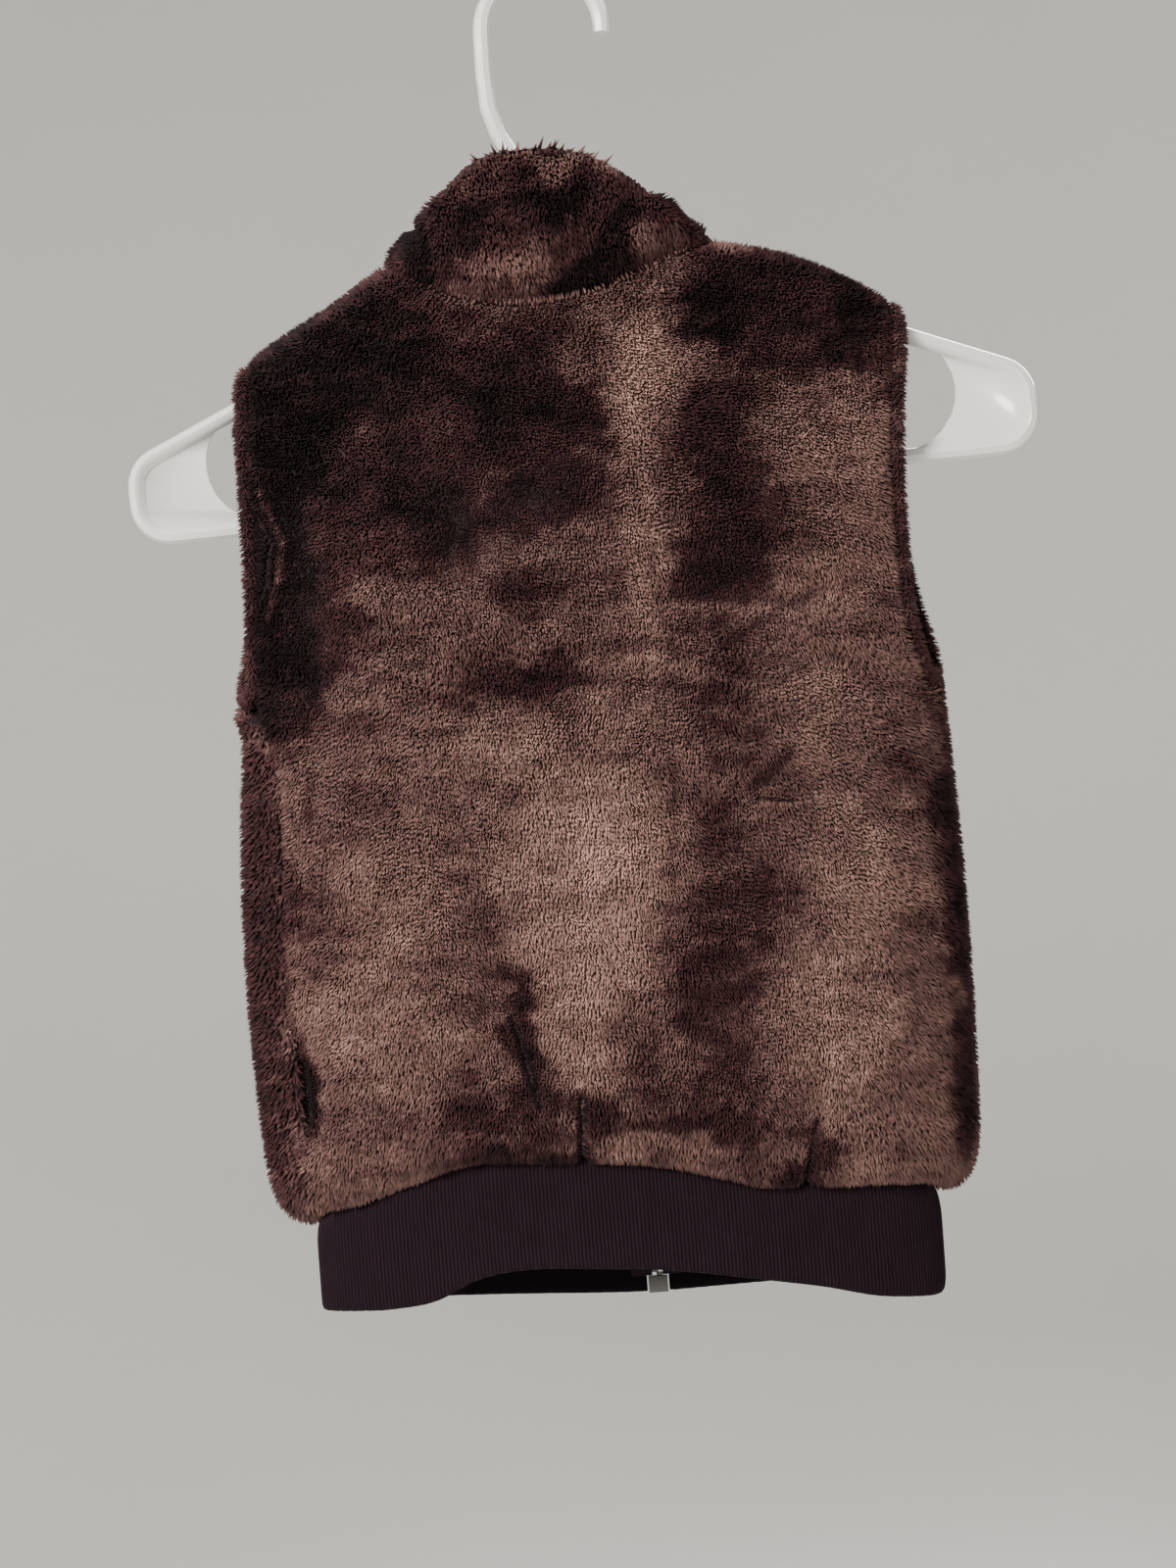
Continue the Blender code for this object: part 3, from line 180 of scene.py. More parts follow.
def addMottle(tree, group, size, amount):
    node = tree.nodes.new("ShaderNodeGroup")
    node.node_tree = group
    node.inputs["Size"].default_value = size
    node.inputs["Amount"].default_value = amount
    return node.outputs["Mask"]


plush = {
    "tips": (  # tone, colour
        (0.0, (0.012, 0.005, 0.006, 1.0)),
        (0.3, (0.092, 0.036, 0.038, 1.0)),
        (0.6, (0.350, 0.198, 0.170, 1.0)),
        (1.0, (0.780, 0.480, 0.400, 1.0)),
    ),
    # Roots are painted darker than tips, as shade deep in the pile.
    "rootShade": 0.45,  # how light a fibre's root is beside its tip
    "tipShare": 0.6,  # how soon along a fibre its tip colour starts
    "chance": 0.36,  # how far single fibres differ
    "mottle": (0.012, 0.35),  # size in m and amount
    "roughness": 0.62,
    "sheen": 0.05,
    "sheenRoughness": 0.4,
    "sheenTint": (0.9, 0.72, 0.7, 1.0),
    "specular": 0.15,
}


def plushMaterial(mottle):
    material, tree, shader = newMaterial("plushFur")
    marks = addNode(tree, "ShaderNodeAttribute", attribute_name="fur")
    parts = addNode(tree, "ShaderNodeSeparateColor", {"Color": marks.outputs["Color"]})
    along, tone, chance = parts.outputs
    # The ramp turns the tone, the pile's painted light and shade, into colour.
    ramp = addNode(tree, "ShaderNodeValToRGB", {"Fac": tone})
    stops = ramp.color_ramp.elements
    stops[0].color = plush["tips"][0][1]
    stops[1].color = plush["tips"][-1][1]
    for place, colour in plush["tips"][1:-1]:
        stops.new(place).color = colour
    spread = addScaled(tree, chance, plush["chance"] * 2.0, 1.0 - plush["chance"])
    uneven = addMath(tree, "MULTIPLY", spread, addMottle(tree, mottle, *plush["mottle"]))
    rise = addMath(tree, "POWER", along, plush["tipShare"])
    # Each fibre is painted darker towards its root, as shade deep in the pile.
    shade = addScaled(tree, rise, 1.0 - plush["rootShade"], plush["rootShade"])
    colour = addTint(tree, ramp.outputs["Color"], addMath(tree, "MULTIPLY", uneven, shade))
    tree.links.new(colour, shader.inputs["Base Color"])
    shader.inputs["Roughness"].default_value = plush["roughness"]
    shader.inputs["Sheen Weight"].default_value = plush["sheen"]
    shader.inputs["Sheen Roughness"].default_value = plush["sheenRoughness"]
    shader.inputs["Sheen Tint"].default_value = plush["sheenTint"]
    shader.inputs["Specular IOR Level"].default_value = plush["specular"]
    return material


knit = {
    # colour, height and width of a loop (mm), depth of the loops
    "knitBacking": ((0.030, 0.018, 0.022, 1.0), 1.1, 1.0, 0.4),
    "ribKnit": ((0.027, 0.012, 0.020, 1.0), 1.05, 0.85, 0.5),
    "zipTapeCloth": ((0.030, 0.018, 0.030, 1.0), 0.55, 0.7, 0.5),
    "relief": 0.4 * mm,
    "gapShade": (0.6, 0.55),  # shade between loops, and how much lighter a loop is
    "valleyShade": (0.25, 0.95),  # the same for the band's grooves and ridges
    "mottle": (0.010, 0.5),
    "roughness": 0.9,
    "sheen": 0.02,
    "specular": 0.1,
}


def knitMaterial(name, mottle, ribbed=False):
    # Plain knit: rows of loops along the height, crossed by their wales.
    base, course, wale, depth = knit[name]
    material, tree, shader = newMaterial(name)
    place = tree.nodes.new("ShaderNodeTexCoord")
    rows = addNode(
        tree,
        "ShaderNodeTexWave",
        {
            "Vector": place.outputs["Object"],
            "Scale": 0.5 / (course * mm),
            "Distortion": 0.35,
            "Detail": 1.0,
        },
        bands_direction="Z",
    )
    columns = addNode(
        tree,
        "ShaderNodeTexWave",
        {
            "Vector": place.outputs["Object"],
            "Scale": 0.5 / (wale * mm),
            "Distortion": 0.25,
            "Detail": 1.0,
        },
        bands_direction="X",
    )
    loops = addMath(tree, "MULTIPLY", rows.outputs["Fac"], columns.outputs["Fac"])
    gap, lighter = knit["gapShade"]
    shade = addScaled(tree, loops, lighter, gap)
    uneven = addMath(tree, "MULTIPLY", shade, addMottle(tree, mottle, *knit["mottle"]))
    if ribbed:
        rib = addNode(tree, "ShaderNodeAttribute", attribute_name="rib").outputs["Fac"]
        groove, ridge = knit["valleyShade"]
        uneven = addMath(tree, "MULTIPLY", uneven, addScaled(tree, rib, ridge, groove))
    tree.links.new(addTint(tree, base, uneven), shader.inputs["Base Color"])
    bump = addNode(
        tree, "ShaderNodeBump", {"Height": loops, "Strength": depth, "Distance": knit["relief"]}
    )
    tree.links.new(bump.outputs["Normal"], shader.inputs["Normal"])
    shader.inputs["Roughness"].default_value = knit["roughness"]
    shader.inputs["Sheen Weight"].default_value = knit["sheen"]
    shader.inputs["Specular IOR Level"].default_value = knit["specular"]
    return material


# colour, its mottle (size in m and amount), roughness and its mottle
metalLook = ((0.15, 0.145, 0.14, 1.0), (0.002, 0.3), 0.5, (0.0012, 0.9))
plasticLook = ((0.93, 0.92, 0.88, 1.0), (0.06, 0.05), 0.24, (0.01, 0.5))
paperLook = ((0.86, 0.85, 0.82, 1.0), (0.5, 0.05), 0.9)
plasticGrain = {"scale": 90.0, "detail": 3.0, "strength": 0.06, "depth": 0.002}
plasticCoat = 0.25


def hardMaterial(name, mottle, look):
    # A plain hard finish, a little uneven in colour and gloss.
    base, mottled, rough, roughMottled = look
    material, tree, shader = newMaterial(name)
    colour = addTint(tree, base, addMottle(tree, mottle, *mottled))
    tree.links.new(colour, shader.inputs["Base Color"])
    gloss = addMath(tree, "MULTIPLY", addMottle(tree, mottle, *roughMottled), rough)
    tree.links.new(gloss, shader.inputs["Roughness"])
    return material, tree, shader


def metalMaterial(mottle):
    material, _, shader = hardMaterial("zipMetal", mottle, metalLook)
    shader.inputs["Metallic"].default_value = 1.0
    return material


def plasticMaterial(mottle):
    material, tree, shader = hardMaterial("hangerPlastic", mottle, plasticLook)
    place = tree.nodes.new("ShaderNodeTexCoord").outputs["Object"]
    grain = addNode(
        tree,
        "ShaderNodeTexNoise",
        {"Vector": place, "Scale": plasticGrain["scale"], "Detail": plasticGrain["detail"]},
    )
    bump = addNode(
        tree,
        "ShaderNodeBump",
        {
            "Height": grain.outputs["Fac"],
            "Strength": plasticGrain["strength"],
            "Distance": plasticGrain["depth"],
        },
    )
    tree.links.new(bump.outputs["Normal"], shader.inputs["Normal"])
    shader.inputs["Coat Weight"].default_value = plasticCoat
    return material


def paperMaterial(mottle):
    base, mottled, rough = paperLook
    material, tree, shader = newMaterial("studioPaper")
    colour = addTint(tree, base, addMottle(tree, mottle, *mottled))
    tree.links.new(colour, shader.inputs["Base Color"])
    shader.inputs["Roughness"].default_value = rough
    return material


# Stage


def addStage(material):
    # A round dish of paper: a floor that turns up into a wall on every side.
    dish = bmesh.new()
    profile = [(0.0, studio["floor"])]
    for step in range(studio["cornerSteps"] + 1):
        turn = math.pi / 2 * step / studio["cornerSteps"]
        out = studio["radius"] - studio["corner"] + studio["corner"] * math.sin(turn)
        up = studio["floor"] + studio["corner"] * (1.0 - math.cos(turn))
        profile.append((out, up))
    profile.append((studio["radius"], studio["wallTop"]))
    points = [dish.verts.new((x, 0.0, z)) for x, z in profile]
    edges = [dish.edges.new(pair) for pair in zip(points, points[1:])]
    bmesh.ops.spin(
        dish,
        geom=points + edges,
        cent=(0, 0, 0),
        axis=(0, 0, 1),
        angle=math.tau,
        steps=studio["turnSteps"],
        use_merge=True,
    )
    bmesh.ops.remove_doubles(dish, verts=dish.verts, dist=0.0001)
    bmesh.ops.recalc_face_normals(dish, faces=dish.faces)
    stage = meshObject("studioDish", dish, [material])
    stage.data.shade_smooth()


# Helpers for meshes


def meshObject(name, shaped, materials):
    mesh = bpy.data.meshes.new(name)
    shaped.to_mesh(mesh)
    shaped.free()
    for material in materials:
        mesh.materials.append(material)
    obj = bpy.data.objects.new(name, mesh)
    bpy.context.scene.collection.objects.link(obj)
    return obj


merging = {
    "distance": 0.01 * mm,
    "faceAngle": 0.9,  # radians, up to which two triangles make one quad
    "shapeAngle": 1.2,
}


def cadCopy(node):
    # A solid's mesh with its loose triangles merged and paired into quads again.
    shaped = bmesh.new()
    shaped.from_mesh(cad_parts[node].data)
    bmesh.ops.remove_doubles(shaped, verts=shaped.verts, dist=merging["distance"])
    bmesh.ops.join_triangles(
        shaped,
        faces=shaped.faces,
        angle_face_threshold=merging["faceAngle"],
        angle_shape_threshold=merging["shapeAngle"],
    )
    return shaped


def settled(obj, levels):
    # The object's mesh with that many rounds of subdivision applied.
    subdivision = obj.modifiers.new("smooth", "SUBSURF")
    subdivision.levels = levels
    subdivision.render_levels = levels
    ready = obj.evaluated_get(bpy.context.evaluated_depsgraph_get())
    mesh = bpy.data.meshes.new_from_object(ready)
    obj.modifiers.remove(subdivision)
    return mesh


def rowsOf(items, key):
    # A place or a normal of every vertex, one to a row.
    values = np.zeros(len(items) * 3)
    items.foreach_get(key, values)
    return values.reshape(-1, 3)


def unitRows(v):
    return v / np.maximum(np.linalg.norm(v, axis=1, keepdims=True), 1e-12)


innerWidth = 0.75  # how far the vest's inner line spreads to the sides


def outwardFrom(place, top):
    # The direction away from the vest's inside, which ends at that height.
    return (place - Vector((place.x * innerWidth, 0.0, min(place.z, top)))).normalized()


def outerFaces(shaped, limit, top):
    # The outward side of a wall: spreads from its most outward face and stops at the rims.
    def facing(face):
        return face.normal.dot(outwardFrom(face.calc_center_median(), top))

    start = max(shaped.faces, key=facing)
    found = {start}
    front = [start]
    while front:
        face = front.pop()
        for edge in face.edges:
            if edge.calc_face_angle(math.pi) > limit:
                continue
            for other in edge.link_faces:
                if other not in found and facing(other) > 0.0:
                    found.add(other)
                    front.append(other)
    return found


def fromLine(x, z, x0, z0, x1, z1):
    # The distance from a line, and the way across from it.
    along = np.array((x1 - x0, z1 - z0))
    t = np.clip(((x - x0) * along[0] + (z - z0) * along[1]) / (along @ along), 0.0, 1.0)
    dx = x - (x0 + t * along[0])
    dz = z - (z0 + t * along[1])
    return np.hypot(dx, dz), np.stack((dx, dz), axis=1)


def reliefAt(folds, x, z):
    # How far the creases lift or sink the cloth, in mm, at places in mm.
    total = np.zeros(len(x))
    for x0, z0, x1, z1, width, rise in folds:
        away, _ = fromLine(x, z, x0, z0, x1, z1)
        total += rise * np.exp(-((away / width) ** 2))
    return total


# Numbers for the pile


mixing = {  # large odd numbers that scatter the bits of a cell's place
    "axes": (73856093, 19349663, 83492791),
    "seed": (9176, 12345),
    "again": 1274126177,
}
goldenSteps = (0.7548776662, 0.5698402910)  # spread points evenly over a face
bits32 = 0xFFFFFFFF
bits24 = 0xFFFFFF


def hashOf(cells, seed):
    # An even random number from 0 to 1 for each whole-number cell.
    byX, byY, byZ = mixing["axes"]
    times, plus = mixing["seed"]
    mixed = cells[..., 0] * byX ^ cells[..., 1] * byY ^ cells[..., 2] * byZ
    mixed = mixed ^ (seed * times + plus)
    for _ in range(2):
        mixed = mixed & bits32
        mixed = (mixed ^ (mixed >> 15)) * mixing["again"]
    mixed = mixed & bits32
    return ((mixed ^ (mixed >> 16)) & bits24) / (bits24 + 1)


def softNoise(points, size, seed):
    # Smooth noise from -1 to 1 whose waves are about that size.
    scaled = points / size
    cell = np.floor(scaled).astype(np.int64)
    share = scaled - cell
    share = share * share * (3.0 - 2.0 * share)
    total = np.zeros(len(points))
    for corner in np.ndindex(2, 2, 2):
        weight = np.prod(np.where(corner, share, 1.0 - share), axis=1)
        total += weight * hashOf(cell + np.array(corner), seed)
    return total * 2.0 - 1.0


def waves(places, kinds, seed):
    # A sum of soft noises, each with its amount and its length in mm.
    total = np.zeros(len(places))
    for k, (amount, size) in enumerate(kinds):
        total += amount * softNoise(places, size * mm, seed + k)
    return total


def clumpCentre(points, size, seed):
    # The nearest of a loose net of points, to which neighbouring tips gather.
    cell = np.floor(points / size).astype(np.int64)
    best = np.full(len(points), np.inf)
    centre = points.copy()
    for step in np.ndindex(3, 3, 3):
        near = cell + np.array(step) - 1
        place = (near + np.stack([hashOf(near, seed + k) for k in range(3)], axis=1)) * size
        away = ((place - points) ** 2).sum(axis=1)
        closer = away < best
        best[closer] = away[closer]
        centre[closer] = place[closer]
    return centre


def scatter(mesh, density, seed):
    # Evenly spread roots on the faces of material 0: places, normals and pile heights.
    mesh.calc_loop_triangles()
    count = len(mesh.loop_triangles)
    corners = np.zeros(count * 3, np.int64)
    mesh.loop_triangles.foreach_get("vertices", corners)
    corners = corners.reshape(-1, 3)
    slots = np.zeros(count, np.int64)
    mesh.loop_triangles.foreach_get("material_index", slots)
    corners = corners[slots == 0]
    places = rowsOf(mesh.vertices, "co")
    normals = rowsOf(mesh.vertices, "normal")
    piles = np.zeros(len(mesh.vertices))
    mesh.attributes["pile"].data.foreach_get("value", piles)
    a, b, c = (places[corners[:, k]] for k in range(3))
    area = np.linalg.norm(np.cross(b - a, c - a), axis=1) / 2.0
    total = np.concatenate(([0.0], np.cumsum(area * density / mm**2)))
    number = np.floor(total[1:]).astype(np.int64) - np.floor(total[:-1]).astype(np.int64)
    which = np.repeat(np.arange(len(corners)), number)
    first = np.repeat(np.cumsum(number) - number, number)
    step = np.arange(len(which)) - first
    tags = np.stack((which, which * 0, which * 0), axis=1)
    u = (hashOf(tags, seed) + step * goldenSteps[0]) % 1.0
    v = (hashOf(tags, seed + 1) + step * goldenSteps[1]) % 1.0
    over = u + v > 1.0
    u, v = np.where(over, 1.0 - u, u), np.where(over, 1.0 - v, v)
    weights = np.stack((1.0 - u - v, u, v), axis=1)
    found = []
    for values in (places, normals, piles[:, None]):
        found.append((values[corners[which]] * weights[:, :, None]).sum(axis=1))
    return found[0], unitRows(found[1]), found[2][:, 0]


def tuftTemplate():
    # A three-sided spike, 1 high and with a radius of 1 at its root.
    cone = bmesh.new()
    bmesh.ops.create_cone(cone, cap_ends=True, segments=3, radius1=1.0, radius2=0.0, depth=1.0)
    bmesh.ops.remove_doubles(cone, verts=cone.verts, dist=0.001)
    bmesh.ops.triangulate(cone, faces=cone.faces)
    corners = np.array([v.co[:] for v in cone.verts])
    corners[:, 2] += 0.5
    faces = np.array([[v.index for v in face.verts] for face in cone.faces])
    cone.free()
    return corners, faces


tuftMap = {  # the places of a tuft's faces in its own small square of the map
    "start": 0.03,
    "step": 0.315,
    "wide": 0.29,
    "low": 0.30,
    "high": 0.95,
    "foot": ((0.1, 0.22), (0.5, 0.05), (0.9, 0.22)),
}


def tuftCell(corners, faces):
    cell = np.zeros((len(faces), 3, 2))
    side = 0
    for k, face in enumerate(faces):
        heights = corners[face][:, 2]
        if heights.max() > 0.5:
            tip = int(np.argmax(heights))
            left = tuftMap["start"] + side * tuftMap["step"]
            cell[k, tip] = (left + tuftMap["wide"] / 2, tuftMap["high"])
            cell[k, (tip + 1) % 3] = (left, tuftMap["low"])
            cell[k, (tip + 2) % 3] = (left + tuftMap["wide"], tuftMap["low"])
            side += 1
        else:
            cell[k] = tuftMap["foot"]
    return cell


def tuftMesh(name, roots, tips, widths, normals, tone, chance, material):
    # One closed three-sided spike for each root, all joined in one mesh.
    corners, faces = tuftTemplate()
    count = len(roots)
    axis = unitRows(tips - roots)
    first = unitRows(np.cross(axis, normals + 0.01))
    second = np.cross(axis, first)
    turn = chance * math.tau
    right = first * np.cos(turn)[:, None] + second * np.sin(turn)[:, None]
    ahead = np.cross(axis, right)
    places = np.zeros((count, len(corners), 3))
    for k, (x, y, z) in enumerate(corners):
        places[:, k] = roots + (right * x + ahead * y) * widths[:, None] + (tips - roots) * z
    mesh = bpy.data.meshes.new(name)
    mesh.vertices.add(count * len(corners))
    mesh.vertices.foreach_set("co", places.ravel())
    loops = (faces.ravel()[None] + np.arange(count)[:, None] * len(corners)).ravel()
    mesh.loops.add(len(loops))
    mesh.loops.foreach_set("vertex_index", loops)
    mesh.polygons.add(count * len(faces))
    mesh.polygons.foreach_set("loop_start", np.arange(count * len(faces)) * 3)
    mesh.update(calc_edges=True)
    marks = np.ones((count, len(corners), 4))
    marks[:, :, 0] = corners[None, :, 2]
    marks[:, :, 1] = tone[:, None]
    marks[:, :, 2] = chance[:, None]
    mesh.attributes.new("fur", "FLOAT_COLOR", "POINT").data.foreach_set("color", marks.ravel())
    columns = int(math.ceil(math.sqrt(count)))
    cells = np.arange(count)
    origin = np.stack((cells % columns, cells // columns), axis=1)
    pattern = tuftCell(corners, faces).reshape(1, -1, 2)
    spots = (origin[:, None] + pattern) / columns
    mesh.uv_layers.new(name="OFBake").data.foreach_set("uv", spots.ravel())
    mesh.shade_smooth()
    mesh.materials.append(material)
    obj = bpy.data.objects.new(name, mesh)
    bpy.context.scene.collection.objects.link(obj)
    return obj


# Creases, partings, and the painted light and shade of the pile, placed on the hanging vest:
# painted shadows in creases, tucks and partings, under the fur's lower edge and down the sides, and
# painted sheen where the nap catches the light.
# A crease is x, z to x, z, half width and rise in mm, and a parting ends with how deep it opens.
backCreases = (
    (-19, -503, -22, -538, 5, -1.6),
    (-92, -524, -34, -519, 9, 1.4),
    (-109, -545, -24, -541, 6, -1.4),
    (-47, -456, -36, -512, 6, -1.8),
    (84, -520, 76, -556, 6, -1.6),
    (-143, -483, -142, -514, 4, -1.8),
    (-20, -326, 38, -322, 4, -1.2),
    (45, -305, 131, -289, 5, -1.5),
    (69, -382, 84, -384, 3, -1.2),
    (0, -491, 60, -495, 5, -1.2),
    (5, -512, 60, -520, 7, 1.2),
    (-101, -197, -52, -236, 6, -1.4),
    (-54, -262, 16, -207, 6, -1.4),
    (-85, -277, -13, -248, 6, -1.2),
    (-128, -240, -120, -345, 9, -1.4),
    (119, -336, 70, -306, 5, -1.5),
    (-145, -316, -78, -295, 6, -1.2),
    (-146, -200, -142, -227, 3, 1.5),
    (-142, -227, -134, -251, 3, 1.7),
    (-134, -251, -137, -267, 3, 1.7),
    (-137, -267, -146, -294, 3, 1.5),
)
backPartings = (
    (-143, -485, -142, -511, 4.0, 1.0),
    (-19, -508, -21, -536, 2.6, 0.8),
    (-47, -470, -38, -510, 2.6, 0.6),
    (-104, -545, -30, -541, 3.0, 0.7),
    (84, -526, 76, -556, 2.6, 0.6),
    (69, -382, 84, -384, 2.4, 0.4),
    (-148, -230, -140, -251, 2.6, 0.7),
    (-140, -251, -143, -268, 2.6, 0.7),
    (-143, -268, -151, -292, 2.6, 0.6),
)
# A line of the pile is x, z to x, z, half width and how dark (-) or light (+) it is: painted shade
# along creases and the fur's lower edge, painted highlight along ridges.
backShadingLines = (
    (-147, -200, -142, -227, 1.8, 0.9),
    (-142, -227, -134, -251, 1.8, 0.9),
    (-134, -251, -137, -267, 1.8, 0.9),
    (-137, -267, -146, -294, 1.8, 0.7),
    (-130, -562, -25, -549, 6.0, -1.2),
    (-143, -487, -142, -509, 2.4, -1.5),
    (-147, -352, -145, -482, 1.4, -0.7),
    (0, -541, 60, -556, 3.0, -0.5),
    (24, -232, 33, -300, 3.0, -0.4),
    (35, -300, 36, -325, 3.0, -0.3),
    (33, -362, 24, -440, 3.0, -0.3),
    (48, -294, 92, -300, 3.0, 0.5),
    (60, -312, 104, -290, 3.0, -0.6),
    (66, -376, 84, -362, 3.0, -0.6),
    (-30, -318, 40, -330, 3.0, -0.5),
)
# A mark is x, z, half width and half height in mm, and how dark (-) or light (+) the pile is there:
# painted shade (-) in tucks, creases and on the sides, painted sheen (+) where the nap catches the
# light.
backShadingMarks = (
    (-140, -196, 34, 34, -1.2), (-142, -254, 25, 50, -1.4), (-144, -315, 22, 30, -1.5),
    (-128, -322, 12, 24, -0.6), (-100, -165, 40, 28, -0.9), (-60, -212, 44, 44, -0.6),
    (-36, -170, 30, 12, -0.5), (-168, -400, 12, 60, -0.8), (-163, -480, 8, 70, -0.6),
    (-112, -232, 16, 50, -0.4), (-90, -177, 35, 22, -0.4), (-48, -198, 30, 22, -0.4),
    (-14, -241, 24, 16, -1.0),
    (-57, -249, 22, 15, -0.7), (-86, -230, 26, 26, -0.3), (-2, -207, 12, 18, -0.9),
    (-22, -190, 24, 22, -0.6), (62, -168, 10, 12, -0.6), (20, -210, 7, 28, 0.6),
    (42, -172, 10, 8, -0.7), (113, -205, 8, 10, -0.5), (85, -260, 14, 10, -0.5),
    (150, -220, 9, 60, -0.8), (-137, -362, 8, 12, -0.6), (-13, -514, 10, 14, -1.0),
    (70, -551, 10, 10, -1.2), (95, -522, 8, 25, 0.4), (68, -432, 10, 20, -0.5),
    (-10, -355, 30, 10, 0.4), (-39, -417, 12, 22, 0.5), (-136, -524, 10, 14, 0.4),
    (-80, -140, 34, 14, -0.7), (-130, -162, 30, 12, -0.6), (110, -138, 50, 12, -0.6),
    (-165, -375, 14, 22, -0.6), (-108, -395, 16, 10, 0.4), (86, -536, 8, 14, 0.4),
    (67, -159, 26, 15, -0.9), (128, -172, 18, 22, -1.2), (96, -181, 22, 17, -0.6),
    (100, -150, 40, 18, -0.6), (67, -216, 19, 26, -0.7), (61, -267, 20, 30, -0.8),
    (58, -336, 16, 32, -0.4), (50, -405, 18, 30, -0.45), (43, -465, 19, 39, -0.6),
    (39, -512, 22, 14, -0.3), (158, -300, 14, 110, -0.7), (160, -470, 14, 100, -1.2),
    (-37, -322, 24, 11, -0.8), (-24, -278, 19, 12, -0.6), (-92, -363, 15, 19, 0.1),
    (-116, -288, 17, 13, -0.6), (-42, -474, 9, 28, -0.9), (-38, -502, 15, 19, -0.9),
    (-69, -514, 15, 9, -0.7), (-40, -534, 28, 8, -1.2), (84, -538, 9, 16, -1.1),
    (7, -488, 11, 26, -0.4), (30, -526, 39, 6, -0.7), (-151, -406, 13, 26, -0.5),
    (-143, -493, 5, 22, -1.2), (33, -186, 20, 24, 1.1), (28, -163, 22, 11, 0.4),
    (27, -264, 9, 47, 0.7), (114, -219, 26, 26, 0.45), (133, -264, 17, 26, 0.3),
    (91, -295, 26, 13, 0.35), (96, -348, 26, 26, 0.35), (-3, -392, 39, 26, 0.9),
    (-7, -443, 32, 43, 0.85), (-16, -495, 22, 26, 0.5), (-43, -350, 30, 17, 0.4),
    (-84, -325, 26, 17, 0.2), (-96, -423, 26, 26, 0.35), (-117, -469, 26, 30, 0.4),
    (-83, -476, 22, 22, 0.3), (112, -418, 26, 35, 0.45), (98, -478, 30, 35, 0.5),
    (111, -539, 17, 13, 0.3), (88, -548, 26, 6, 0.3), (7, -533, 30, 5, 0.5),
    (-148, -359, 13, 6, 0.8), (-34, -237, 8, 5, 0.6), (-57, -197, 11, 13, 0.3),
    (19, -333, 26, 17, 0.4),
)
frontCreases = (
    (-92, -480, -80, -540, 6, -1.6),
    (-60, -500, -50, -545, 8, 1.4),
    (98, -470, 86, -545, 6, -1.6),
    (50, -505, 42, -548, 7, -1.4),
    (-120, -310, -60, -270, 6, -1.5),
    (122, -320, 64, -280, 6, -1.5),
    (-110, -200, -60, -240, 7, -1.4),
    (112, -195, 62, -245, 7, -1.4),
    (-100, -380, -60, -392, 5, -1.2),
    (104, -405, 58, -396, 5, -1.2),
)
frontPartings = (
    (-91, -484, -80, -538, 2.8, 0.7),
    (97, -474, 86, -543, 2.8, 0.7),
    (-118, -308, -66, -274, 2.4, 0.5),
    (120, -318, 70, -284, 2.4, 0.5),
    (-98, -380, -66, -390, 2.0, 0.5),
)
# Painted light and shade of the front's pile: painted shade (-) along its creases and down its
# sides, painted sheen (+) where the nap catches the light.
frontShadingMarks = (
    (-120, -260, 22, 50, -0.9), (-70, -235, 26, 22, -0.5), (-95, -175, 30, 18, -0.4),
    (-52, -330, 24, 40, 0.6), (-90, -420, 28, 36, 0.45), (-40, -455, 20, 40, -0.6),
    (-84, -520, 16, 30, -0.8), (-118, -480, 20, 30, 0.4), (-30, -270, 16, 40, -0.5),
    (122, -250, 20, 46, -0.8), (76, -225, 24, 20, -0.5), (100, -172, 26, 16, -0.4),
    (58, -320, 22, 44, 0.5), (96, -400, 28, 34, 0.45), (44, -440, 18, 42, -0.6),
    (90, -515, 14, 32, -0.9), (124, -470, 20, 32, 0.4), (28, -300, 14, 44, -0.5),
    (-164, -440, 24, 130, -0.8), (164, -440, 18, 130, -0.7),
)
collarCreases = (
    (33, -112, -8, -149, 9, -1.6),
    (-58, -92, -64, -120, 4, -1.2),
    (52, -112, 10, -135, 5, 1.2),
)
collarPartings = (
    (-58, -94, -63, -116, 2.2, 0.6),
)
# A painted shadow along the collar's diagonal fold.
collarShadingLines = (
    (34, -113, -2, -151, 3.5, -0.9),
)
# Painted light and shade of the collar's pile: painted shade (-) in its fold and on its top,
# painted sheen (+) where the nap catches the light.
collarShadingMarks = (
    (-5, -118, 90, 50, -0.55), (-50, -118, 24, 20, -0.5), (-66, -124, 14, 22, -0.5),
    (-20, -134, 30, 11, 0.8), (0, -106, 16, 7, -0.7), (54, -122, 18, 18, -0.4),
    (0, -92, 24, 6, 0.6), (19, -139, 13, 12, -1.3), (27, -126, 8, 11, -1.1),
    (44, -125, 12, 7, 0.5), (8, -145, 12, 8, -0.8),
)


# Fur


